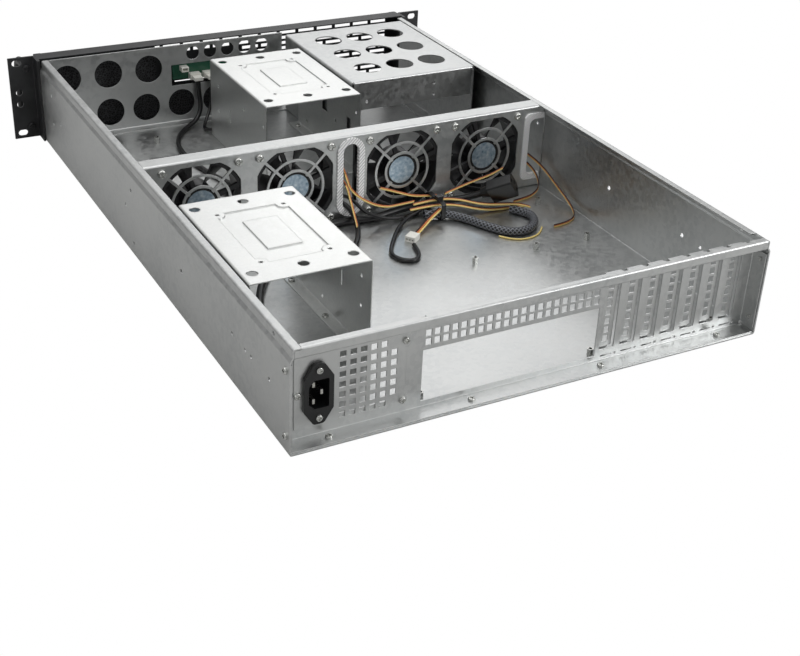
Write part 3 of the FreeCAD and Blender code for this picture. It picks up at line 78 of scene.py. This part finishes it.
# %% [markdown]
# Colours are given as the hex values of a colour picker, so one function makes them linear.
# One more adds a shader node with its inputs, and the other helpers are built on these two.

# %% Helpers for materials


def linear(hex_colour):
    """sRGB hex to the linear RGBA that shaders use."""
    channels = [int(hex_colour[i:i + 2], 16) / 255 for i in (1, 3, 5)]
    return tuple(c / 12.92 if c <= 0.04045 else ((c + 0.055) / 1.055) ** 2.4
                 for c in channels) + (1.0,)


def add(tree, kind, inputs=None, **settings):
    """Adds a node; inputs are values or other nodes' output sockets, by input name or number."""
    made = tree.nodes.new(kind)
    for key, value in settings.items():
        setattr(made, key, value)
    for key, value in (inputs or {}).items():
        if isinstance(value, bpy.types.NodeSocket):
            tree.links.new(value, made.inputs[key])
        else:
            made.inputs[key].default_value = value
    return made


def new_material(name):
    """A material with nothing set yet; gives (material, tree, surface shader)."""
    material = bpy.data.materials.new(name)
    material.use_nodes = True
    tree = material.node_tree
    return material, tree, tree.nodes["Principled BSDF"]


def set_in(tree, shader, **values):
    """Sets or links the shader's inputs, with _ for a space in their names."""
    for key, value in values.items():
        socket = shader.inputs[key.replace("_", " ")]
        if isinstance(value, bpy.types.NodeSocket):
            tree.links.new(value, socket)
        else:
            socket.default_value = value


def ramp(tree, factor, stops):
    """A colour ramp through (position, hex) stops; gives its colour output."""
    made = add(tree, "ShaderNodeValToRGB", {"Fac": factor})
    elements = made.color_ramp.elements
    while len(elements) < len(stops):
        elements.new(0.5)
    for element, (position, colour) in zip(elements, stops):
        element.position = position
        element.color = linear(colour)
    return made.outputs["Color"]


def spread(tree, value, low, high):
    """Maps 0..1 to low..high."""
    made = add(tree, "ShaderNodeMapRange", {"Value": value, "To Min": low, "To Max": high})
    return made.outputs["Result"]


def weighed(tree, value, weight, base):
    """base + weight * value."""
    made = add(tree, "ShaderNodeMath", {0: value, 1: weight, 2: base}, operation="MULTIPLY_ADD")
    return made.outputs[0]


def noise(tree, per_metre, detail=3.0, rough=0.5):
    """Noise with that many cells a metre; from 0 to 1."""
    place = add(tree, "ShaderNodeTexCoord").outputs["Object"]
    made = add(tree, "ShaderNodeTexNoise", {"Vector": place, "Scale": per_metre, "Detail": detail,
                                            "Roughness": rough})
    return made.outputs["Fac"]


def bump(tree, height, depth, strength=1.0, under=None):
    """Normals of relief of that depth, laid over other normals if they are given."""
    inputs = {"Height": height, "Distance": depth, "Strength": strength}
    if under is not None:
        inputs["Normal"] = under
    return add(tree, "ShaderNodeBump", inputs).outputs["Normal"]


def soft_edges(tree, radius):
    """Normals that round the edges by that radius."""
    return add(tree, "ShaderNodeBevel", {"Radius": radius}, samples=4).outputs["Normal"]


# %% [markdown]
# ## Metals
# Zinc-coated sheet shows a fine spangle: small crystals of slightly different tone and gloss.


# %% Sheet metal
ZINC_GRAIN = 2600       # cells a metre of the fine grain
ZINC_CLOUDS = 9         # cells a metre of the broad changes of tone
CRYSTAL_RAGGED = 3 * MM


def crystals(tree, cells):
    """Tones of zinc crystals with ragged borders, that many a metre; from 0 to 1."""
    place = add(tree, "ShaderNodeTexCoord").outputs["Object"]
    warp = add(tree, "ShaderNodeTexNoise", {"Vector": place, "Scale": cells * 0.8, "Detail": 2.0})
    shift = add(tree, "ShaderNodeVectorMath", {0: warp.outputs["Color"], 1: (CRYSTAL_RAGGED,) * 3},
                operation="MULTIPLY")
    ragged = add(tree, "ShaderNodeVectorMath", {0: place, 1: shift.outputs["Vector"]},
                 operation="ADD")
    cell = add(tree, "ShaderNodeTexVoronoi", {"Vector": ragged.outputs["Vector"], "Scale": cells})
    return add(tree, "ShaderNodeSeparateColor", {"Color": cell.outputs["Color"]}).outputs["Red"]


def zinc_sheet(name, stops, roughness, cells, grain_depth, edge):
    """Zinc-coated steel with that many crystals a metre and edges of that radius."""
    material, tree, shader = new_material(name)
    tone = crystals(tree, cells)
    grain = noise(tree, ZINC_GRAIN, rough=0.7)
    shade = weighed(tree, grain, 0.45, weighed(tree, tone, 0.35, noise(tree, ZINC_CLOUDS)))
    gloss = weighed(tree, grain, 0.12, weighed(tree, tone, 0.10, roughness))
    set_in(tree, shader, Base_Color=ramp(tree, spread(tree, shade, -0.15, 0.85), stops),
           Metallic=1.0, Roughness=gloss,
           Normal=bump(tree, grain, grain_depth, 0.5, soft_edges(tree, edge)))
    return material


ZINC = zinc_sheet("zinc_coated_sheet", [(0.0, "#a4a7a8"), (0.5, "#bbbdbd"), (1.0, "#cfd0cf")],
                  roughness=0.26, cells=260, grain_depth=40 * MICRON, edge=0.5 * MM)
BRIGHT_ZINC = zinc_sheet("bright_zinc_sheet", [(0.0, "#c8caca"), (1.0, "#e2e3e1")],
                         roughness=0.24, cells=420, grain_depth=20 * MICRON, edge=1.3 * MM)

# %% [markdown]
# Paint, plating and plastic need only a fine texture and slightly rounded edges.

# %% Paint, plating and plastic


def powder_coat(name, colour, rough):
    """Fine-textured powder paint."""
    material, tree, shader = new_material(name)
    texture = noise(tree, 1500, rough=0.6)
    wear = noise(tree, 60, detail=4.0)
    set_in(tree, shader, Base_Color=ramp(tree, wear, [(0.3, colour), (0.8, "#2a2b2d")]),
           Roughness=spread(tree, texture, rough - 0.08, rough + 0.12), IOR=1.5,
           Normal=bump(tree, texture, 80 * MICRON, 0.6, soft_edges(tree, 0.6 * MM)))
    return material


def plated(name, colour, rough):
    """Small plated parts such as screws and pins."""
    material, tree, shader = new_material(name)
    mottle = noise(tree, 900)
    set_in(tree, shader, Base_Color=ramp(tree, mottle, [(0.3, colour), (0.8, "#d9dad6")]),
           Metallic=1.0, Roughness=spread(tree, mottle, rough, rough + 0.12),
           Normal=soft_edges(tree, 0.2 * MM))
    return material


def moulded(name, colour, high, rough, per_metre=1200, depth=30 * MICRON):
    """Moulded plastic with a fine spark-eroded texture of that many cells a metre."""
    material, tree, shader = new_material(name)
    texture = noise(tree, per_metre)
    set_in(tree, shader, Base_Color=ramp(tree, texture, [(0.3, colour), (0.75, high)]),
           Roughness=spread(tree, texture, rough - 0.05, rough + 0.08), IOR=1.5,
           Normal=bump(tree, texture, depth, 0.5, soft_edges(tree, 0.3 * MM)))
    return material


BLACK_COAT = powder_coat("black_powder_coat", "#131416", 0.42)
BLACK_SCREW = powder_coat("black_oxide_screw", "#101112", 0.35)
PLATED = plated("zinc_plated_screw", "#b9bab7", 0.20)
PIN = plated("nickel_plated_pin", "#b0aea6", 0.22)
PORT_SHELL = plated("nickel_port_shell", "#a9a9a8", 0.28)
FAN_BLACK = moulded("glass_filled_nylon", "#08080a", "#121214", 0.50)
ROTOR_BLACK = moulded("fan_blade_plastic", "#0c0c0e", "#19191c", 0.40)
INLET_BLACK = moulded("inlet_plastic", "#0f0f10", "#191a1b", 0.30)
BUTTON_BLACK = moulded("button_plastic", "#161617", "#202022", 0.32)
WHITE_NYLON = moulded("natural_nylon", "#d9d8d0", "#ecebe5", 0.42)
JACKET = moulded("pvc_jacket", "#060607", "#0e0e10", 0.34, 700, 20 * MICRON)
ORANGE = moulded("orange_pvc", "#bb6534", "#d07f49", 0.34)
YELLOW = moulded("yellow_pvc", "#dcc06a", "#ecd88f", 0.34)
BROWN = moulded("brown_pvc", "#291614", "#3d231d", 0.34)
TIE = moulded("nylon_tie", "#121213", "#1d1d1e", 0.38)

# %% [markdown]
# ## Patterned materials
# A braided sleeve, a toothed trim, an open-cell foam, foil labels, a circuit board and the clear
# lenses of its lights.

# %% Sleeve, trim, foam, labels, board and lenses


def sine(tree, u, v, along, around):
    """A sine with that many turns for each unit of u and of v; from 0 to 1."""
    phase = weighed(tree, v, around * math.tau, weighed(tree, u, along * math.tau, 0.0))
    wave = add(tree, "ShaderNodeMath", {0: phase}, operation="SINE").outputs[0]
    return weighed(tree, wave, 0.5, 0.5)


def braid(name, low, high, along, around):
    """Two sets of strands that cross over a tube; its UV runs once along and once around."""
    material, tree, shader = new_material(name)
    place = add(tree, "ShaderNodeTexCoord").outputs["UV"]
    axes = add(tree, "ShaderNodeSeparateXYZ", {"Vector": place})
    u, v = axes.outputs["X"], axes.outputs["Y"]
    sets = [sine(tree, u, v, along, side * around) for side in (1, -1)]
    crossed = add(tree, "ShaderNodeMath", {0: sets[0], 1: sets[1]}, operation="MAXIMUM").outputs[0]
    # The grey on the strands' crests is a painted sheen on black strands, laid where the bump
    # raises them
    set_in(tree, shader, Base_Color=ramp(tree, crossed, [(0.70, low), (0.98, high)]),
           Roughness=0.40, Normal=bump(tree, crossed, 0.4 * MM, 0.8))
    return material


def toothed(name, low, high, pitch):
    """Edge trim with short teeth across it, that pitch apart."""
    material, tree, shader = new_material(name)
    place = add(tree, "ShaderNodeTexCoord").outputs["Object"]
    axes = add(tree, "ShaderNodeSeparateXYZ", {"Vector": place})
    teeth = sine(tree, axes.outputs["X"], axes.outputs["Z"], 1 / pitch, 1 / pitch)
    # The grey in the grooves between the teeth is painted shade on white trim
    set_in(tree, shader, Base_Color=ramp(tree, teeth, [(0.12, low), (0.45, high)]), Roughness=0.35,
           IOR=1.5, Normal=bump(tree, teeth, 0.6 * MM, 0.7))
    return material


def foam(name):
    """Black open-cell foam behind the grille."""
    material, tree, shader = new_material(name)
    place = add(tree, "ShaderNodeTexCoord").outputs["Object"]
    cells = add(tree, "ShaderNodeTexVoronoi", {"Vector": place, "Scale": 420.0},
                feature="DISTANCE_TO_EDGE").outputs["Distance"]
    set_in(tree, shader, Base_Color=ramp(tree, cells, [(0.02, "#3c3d3f"), (0.18, "#060607")]),
           Roughness=0.85, Normal=bump(tree, cells, 1.2 * MM))
    return material


def foil(name):
    """Silver-blue foil with a mottled sheen and no print."""
    material, tree, shader = new_material(name)
    mottle = noise(tree, 260)
    set_in(tree, shader, Base_Color=ramp(tree, mottle, [(0.25, "#7f97ab"), (0.5, "#a9bccb"),
                                                        (0.8, "#dfe7ea")]),
           Metallic=0.85, Roughness=spread(tree, mottle, 0.22, 0.42))
    return material


def circuit(name):
    """Green solder resist with faint tracks."""
    material, tree, shader = new_material(name)
    place = add(tree, "ShaderNodeTexCoord").outputs["Object"]
    tracks = add(tree, "ShaderNodeTexBrick", {
        "Vector": place, "Scale": 220.0, "Color1": linear("#1c6a48"), "Color2": linear("#23805a"),
        "Mortar": linear("#14513a"), "Mortar Size": 0.06})
    set_in(tree, shader, Base_Color=tracks.outputs["Color"], Roughness=0.28, Coat_Weight=0.5,
           Normal=soft_edges(tree, 0.3 * MM))
    return material


def lens(name):
    """Clear lens of a status light, unlit."""
    material, tree, shader = new_material(name)
    haze = noise(tree, 800, detail=2.0)
    set_in(tree, shader, Base_Color=ramp(tree, haze, [(0.3, "#d8e4dc"), (0.8, "#eef5f0")]),
           Roughness=0.12, Transmission_Weight=0.6, IOR=1.49)
    return material


# The second colour is the painted sheen on the strands' crests
SLEEVE = braid("braided_sleeve", "#030304", "#74777e", along=40.0, around=6.0)
# The first colour is the painted shade between the teeth
TRIM = toothed("toothed_trim", "#c6c7c8", "#ffffff", pitch=3.4 * MM)
FOAM = foam("filter_foam")
LABEL = foil("label_foil")
BOARD = circuit("circuit_board")
LED = lens("led_lens")

# %% [markdown]
# ## Dress the CAD nodes
# Every node keeps its shape; only its material slots change.

# %% Give each node its material
DRESS = {
    ZINC: ["chassis_tray", "front_wall", "rear_panel", "inlet_plate", "slot_covers", "fan_wall",
           "bay_cover"],
    BRIGHT_ZINC: ["drive_cage_front", "drive_cage_rear"],
    BLACK_COAT: ["front_bezel", "ear_left", "ear_right", "handle_left", "handle_right"],
    BLACK_SCREW: ["ear_screws"],
    PLATED: ["standoffs", "case_screws", "inlet_screws", "fan_screws"],
    PIN: ["inlet_pins"],
    INLET_BLACK: ["power_inlet", "inlet_boot", "c13_plug"],
    FAN_BLACK: ["fan_frame_%d" % i for i in range(1, 5)],
    ROTOR_BLACK: ["fan_rotor_%d" % i for i in range(1, 5)],
    LABEL: ["fan_labels"],
    TRIM: ["slot_trim_centre", "slot_trim_side"],
    WHITE_NYLON: ["board_headers", "front_plugs", "fan_plug"],
    FOAM: ["filter_foam"],
    BOARD: ["io_board"],
    PORT_SHELL: ["usb_ports"],
    BUTTON_BLACK: ["power_button", "reset_button", "switch_bodies"],
    LED: ["status_leds"],
    TIE: ["cable_tie"],
}
for material, names in DRESS.items():
    for name in names:
        NODES[name].data.materials.clear()
        NODES[name].data.materials.append(material)
print("dressed", sum(len(names) for names in DRESS.values()))

# %% [markdown]
# ## Cables
# Each route is a short list of given points, the control points of one smooth curve.

# %% Cable routes
INLET_LEAD = [
    (0.1852, 0.2925, 0.0387), (0.1850, 0.2700, 0.0365), (0.1800, 0.2480, 0.0200),
    (0.1720, 0.2160, 0.0065), (0.1600, 0.1760, 0.0048), (0.1460, 0.1280, 0.0048),
    (0.1180, 0.0840, 0.0048), (0.0840, 0.0460, 0.0048), (0.0440, 0.0260, 0.0048),
    (0.0100, 0.0220, 0.0048), (-0.0160, 0.0280, 0.0048), (-0.0400, 0.0238, 0.0060),
    (-0.0640, 0.0245, 0.0084), (-0.0830, 0.0250, 0.0083), (-0.1010, 0.0260, 0.0080),
    (-0.1162, 0.0309, 0.0096), (-0.1278, 0.0405, 0.0165)]
SLEEVE_LOOP = [
    (-0.0620, 0.0434, 0.0070), (-0.0820, 0.0462, 0.0067), (-0.0980, 0.0640, 0.0053),
    (-0.1070, 0.0860, 0.0053), (-0.1200, 0.1065, 0.0053), (-0.1410, 0.1095, 0.0053),
    (-0.1575, 0.0940, 0.0053), (-0.1610, 0.0755, 0.0053), (-0.1485, 0.0615, 0.0053)]
SHORT_LOOP = [
    (-0.0720, 0.0345, 0.0110), (-0.0500, 0.0380, 0.0070), (-0.0280, 0.0540, 0.0033),
    (-0.0100, 0.0780, 0.0033), (0.0030, 0.0980, 0.0033), (0.0000, 0.1120, 0.0033),
    (-0.0110, 0.1195, 0.0033), (-0.0225, 0.1100, 0.0033), (-0.0260, 0.0900, 0.0033)]
FRONT_CABLE = [
    (0.0440, -0.2795, 0.0478), (0.0440, -0.2795, 0.0340), (0.0425, -0.2765, 0.0180),
    (0.0500, -0.2710, 0.0060), (0.0660, -0.2590, 0.0038), (0.0830, -0.2400, 0.0038),
    (0.0950, -0.2080, 0.0038), (0.0940, -0.1640, 0.0038), (0.0840, -0.1140, 0.0038),
    (0.0620, -0.0660, 0.0038), (0.0300, -0.0320, 0.0080), (0.0140, -0.0120, 0.0150),
    (0.0085, 0.0100, 0.0185), (0.0050, 0.0270, 0.0130), (0.0090, 0.0460, 0.0045),
    (0.0220, 0.0680, 0.0038), (0.0440, 0.0940, 0.0038)]
USB_CABLE = [
    (0.0290, -0.2795, 0.0478), (0.0290, -0.2795, 0.0340), (0.0320, -0.2760, 0.0160),
    (0.0430, -0.2650, 0.0040), (0.0500, -0.2500, 0.0031), (0.0420, -0.2390, 0.0050),
    (0.0310, -0.2240, 0.0046), (0.0200, -0.2000, 0.0031), (0.0140, -0.1580, 0.0031),
    (0.0080, -0.1080, 0.0031), (0.0030, -0.0640, 0.0031), (0.0000, -0.0300, 0.0070),
    (-0.0010, -0.0060, 0.0170), (-0.0005, 0.0140, 0.0205), (-0.0040, 0.0290, 0.0150),
    (-0.0200, 0.0370, 0.0075), (-0.0420, 0.0360, 0.0040), (-0.0620, 0.0315, 0.0031)]
SIDE_LOOP_SMALL = [
    (-0.1990, 0.0000, 0.0260), (-0.2000, 0.0150, 0.0240), (-0.2040, 0.0240, 0.0150),
    (-0.2015, 0.0320, 0.0060), (-0.1900, 0.0385, 0.0030), (-0.1760, 0.0425, 0.0030),
    (-0.1640, 0.0440, 0.0030)]
SIDE_LOOP_LARGE = [
    (-0.2030, -0.0060, 0.0320), (-0.2040, 0.0120, 0.0310), (-0.2065, 0.0310, 0.0255),
    (-0.2070, 0.0530, 0.0170), (-0.2080, 0.0760, 0.0080), (-0.2030, 0.0960, 0.0032),
    (-0.1870, 0.1070, 0.0030), (-0.1700, 0.1075, 0.0030)]
THIN_LOOP = [
    (-0.1585, 0.1035, 0.0021), (-0.1500, 0.1145, 0.0021), (-0.1340, 0.1200, 0.0021),
    (-0.1180, 0.1160, 0.0021), (-0.1100, 0.1040, 0.0021)]
PLUG_WIRES = [
    (-0.0780, 0.0475, 0.0125), (-0.0640, 0.0540, 0.0090), (-0.0480, 0.0650, 0.0050),
    (-0.0360, 0.0740, 0.0039)]
RIBBONS = [
    [(-0.0560, 0.0320, 0.0140), (-0.0780, 0.0345, 0.0168), (-0.1000, 0.0395, 0.0156),
     (-0.1220, 0.0505, 0.0099), (-0.1430, 0.0595, 0.0106), (-0.1580, 0.0638, 0.0098),
     (-0.1680, 0.0665, 0.0060)],
    [(-0.0500, 0.0370, 0.0115), (-0.0720, 0.0410, 0.0145), (-0.0950, 0.0445, 0.0125),
     (-0.1200, 0.0500, 0.0050), (-0.1400, 0.0530, 0.0025), (-0.1680, 0.0560, 0.0025)]]
FAN_LEADS = [
    [(0.0105, 0.0000, 0.0430), (0.0109, 0.0204, 0.0426), (0.0085, 0.0240, 0.0290),
     (0.0090, 0.0340, 0.0175), (0.0110, 0.0455, 0.0090)],
    [(0.0070, 0.0020, 0.0530), (0.0095, 0.0172, 0.0485), (0.0060, 0.0200, 0.0340),
     (-0.0105, 0.0235, 0.0205), (-0.0280, 0.0265, 0.0136), (-0.0440, 0.0257, 0.0132),
     (-0.0600, 0.0260, 0.0140)],
    [(-0.0270, 0.0171, 0.0300), (-0.0350, 0.0185, 0.0275), (-0.0470, 0.0205, 0.0230),
     (-0.0600, 0.0225, 0.0184), (-0.0720, 0.0246, 0.0170), (-0.0840, 0.0270, 0.0166)],
    [(-0.1650, 0.0171, 0.0280), (-0.1520, 0.0180, 0.0235), (-0.1340, 0.0205, 0.0220),
     (-0.1120, 0.0240, 0.0195), (-0.0920, 0.0300, 0.0182)]]

# %% Draw the cables
WIRES = (("brown", BROWN), ("orange", ORANGE), ("yellow", YELLOW))
SIDE_WIRE, FAN_WIRE, RIBBON_WIRE = 1.2 * MM, 1.3 * MM, 1.6 * MM
# Lengths of the wires that have more than one route
FAN_LEAD_LENGTHS, RIBBON_LENGTHS = (0.0622, 0.101, 0.0598, 0.0753), (0.119, 0.121)
# Offsets of the three wires from a route: one over another, or in a loose bunch
STACKED = ((0, 0, 0.0011), (0, 0, 0), (0, 0, -0.0011))
BUNCHED = ((0.0005, -0.0006, 0.0004), (-0.0007, 0, 0.0003), (0.0003, 0.0007, -0.0004))
# From one wire's middle to the next where they lie side by side
RIBBON_PITCH = 1.7 * MM
ACROSS_RIBBON = tuple(part * RIBBON_PITCH for part in (0.20, 0.98, 0))
ACROSS_PLUG = tuple(part * RIBBON_PITCH for part in (-0.59, 0.81, 0))


def cable(name, points, diameter, material, stands_for):
    """One round cable in place of a CAD node."""
    curve = bpy.data.curves.new(name, "CURVE")
    curve.dimensions = "3D"
    curve.bevel_depth = diameter / 2
    curve.bevel_resolution = 5
    curve.resolution_u = 8
    spline = curve.splines.new("NURBS")
    spline.points.add(len(points) - 1)
    for point, place in zip(spline.points, points):
        point.co = (*place, 1.0)
    spline.order_u = 3
    spline.use_endpoint_u = True
    curve.materials.append(material)
    piece = bpy.data.objects.new(name, curve)
    bpy.context.scene.collection.objects.link(piece)
    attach(piece, CHASSIS)
    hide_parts(stands_for)


def beside(points, across, steps=1.0):
    """The same route moved by so many steps of a small vector."""
    return [tuple(c + a * steps for c, a in zip(point, across)) for point in points]


def trio(name, points, diameter, offsets, stands_for):
    """Three coloured wires that run together where the CAD has one cable."""
    for (colour, material), offset in zip(WIRES, offsets):
        cable(name + "_" + colour, beside(points, offset), diameter, material,
              stands_for)


cable("mains_lead", INLET_LEAD, diameter=7.0 * MM, material=JACKET,
      stands_for="inlet_lead")
cable("sleeved_bundle", SLEEVE_LOOP, diameter=8.0 * MM, material=SLEEVE,
      stands_for="sleeved_loop")
cable("shiny_loop", SHORT_LOOP, diameter=4.0 * MM, material=JACKET,
      stands_for="short_loop")
cable("front_lead", FRONT_CABLE, diameter=5.0 * MM, material=JACKET,
      stands_for="front_cable")
cable("usb_lead", USB_CABLE, diameter=3.6 * MM, material=JACKET,
      stands_for="usb_cable")
trio("side_small", SIDE_LOOP_SMALL, SIDE_WIRE, STACKED, "side_loop_small")
trio("side_large", SIDE_LOOP_LARGE, SIDE_WIRE, STACKED, "side_loop_large")
for number, (points, length) in enumerate(zip(FAN_LEADS, FAN_LEAD_LENGTHS), 1):
    trio("fan_%d_wires" % number, points, FAN_WIRE, BUNCHED, "fan_lead_%d" % number)

# The orange wire lies on the route, the brown and the yellow one a step to each side of it
for step, (colour, material) in enumerate(WIRES, -1):
    node, slot = "wires_" + colour, "wire_" + colour
    for number, (points, length) in enumerate(zip(RIBBONS, RIBBON_LENGTHS), 1):
        cable("%s_wire_%d" % (colour, number), beside(points, ACROSS_RIBBON, step), RIBBON_WIRE,
              material, node)
    cable(colour + "_plug_wire", beside(PLUG_WIRES, ACROSS_PLUG, step), RIBBON_WIRE, material,
          node)
cable("yellow_loop", THIN_LOOP, RIBBON_WIRE, YELLOW, "wires_yellow")
print("cables drawn")

# %% [markdown]
# ## Studio
# A white floor and backdrop, a pale sky that is brighter overhead, and three large soft lights.

# %% Floor and light
FLOOR_HALF = 6.0


def white_stage():
    """A pale floor that the camera itself sees as pure white."""
    mesh = bpy.data.meshes.new("floor")
    corners = [(x * FLOOR_HALF, y * FLOOR_HALF, 0) for x, y in ((-1, -1), (1, -1), (1, 1), (-1, 1))]
    mesh.from_pydata(corners, [], [(0, 1, 2, 3)])
    floor = bpy.data.objects.new("floor", mesh)
    bpy.context.scene.collection.objects.link(floor)
    material, tree, shader = new_material("white_floor")
    set_in(tree, shader, Base_Color=linear("#bcbcbb"), Roughness=0.9)
    glow = add(tree, "ShaderNodeEmission", {"Color": linear("#ffffff"), "Strength": 1.0})
    seen = add(tree, "ShaderNodeLightPath").outputs["Is Camera Ray"]
    mix = add(tree, "ShaderNodeMixShader", {0: seen, 1: shader.outputs[0], 2: glow.outputs[0]})
    tree.links.new(mix.outputs[0], tree.nodes["Material Output"].inputs["Surface"])
    mesh.materials.append(material)


def sky():
    """A sky that is grey at the horizon and brighter overhead; the camera sees white."""
    world = bpy.data.worlds.new("studio")
    bpy.context.scene.world = world
    world.use_nodes = True
    tree = world.node_tree
    place = add(tree, "ShaderNodeTexCoord").outputs["Generated"]
    height = add(tree, "ShaderNodeSeparateXYZ", {"Vector": place}).outputs["Z"]
    tone = ramp(tree, height, [(0.0, "#5a5a5a"), (0.25, "#9a9a9a"), (0.5, "#d6d6d6"),
                               (0.9, "#f4f4f4")])
    seen = add(tree, "ShaderNodeLightPath").outputs["Is Camera Ray"]
    # A colour mix takes its two colours at inputs 6 and 7
    colour = add(tree, "ShaderNodeMix", {0: seen, 6: tone, 7: linear("#ffffff")}, data_type="RGBA")
    tree.links.new(colour.outputs[2], tree.nodes["Background"].inputs["Color"])


def soft_box(name, place, target, size, watts):
    """A rectangular light of that width and height, aimed at a target."""
    light = bpy.data.lights.new(name, "AREA")
    light.shape = "RECTANGLE"
    light.size, light.size_y = size
    light.energy = watts
    lamp = bpy.data.objects.new(name, light)
    lamp.location = place
    lamp.rotation_euler = (Vector(target) - Vector(place)).to_track_quat("-Z", "Y").to_euler()
    bpy.context.scene.collection.objects.link(lamp)


white_stage()
sky()
soft_box("overhead", (0.1, -0.3, 1.9), target=(0, 0, 0), size=(1.6, 1.6), watts=11)
soft_box("front_right", (-1.15, -1.9, 1.15), target=(0, 0.1, 0), size=(1.3, 0.8), watts=4.5)
soft_box("rear_right", (-1.4, 1.5, 0.9), target=(0, 0.1, 0.02), size=(1.0, 0.8), watts=14)
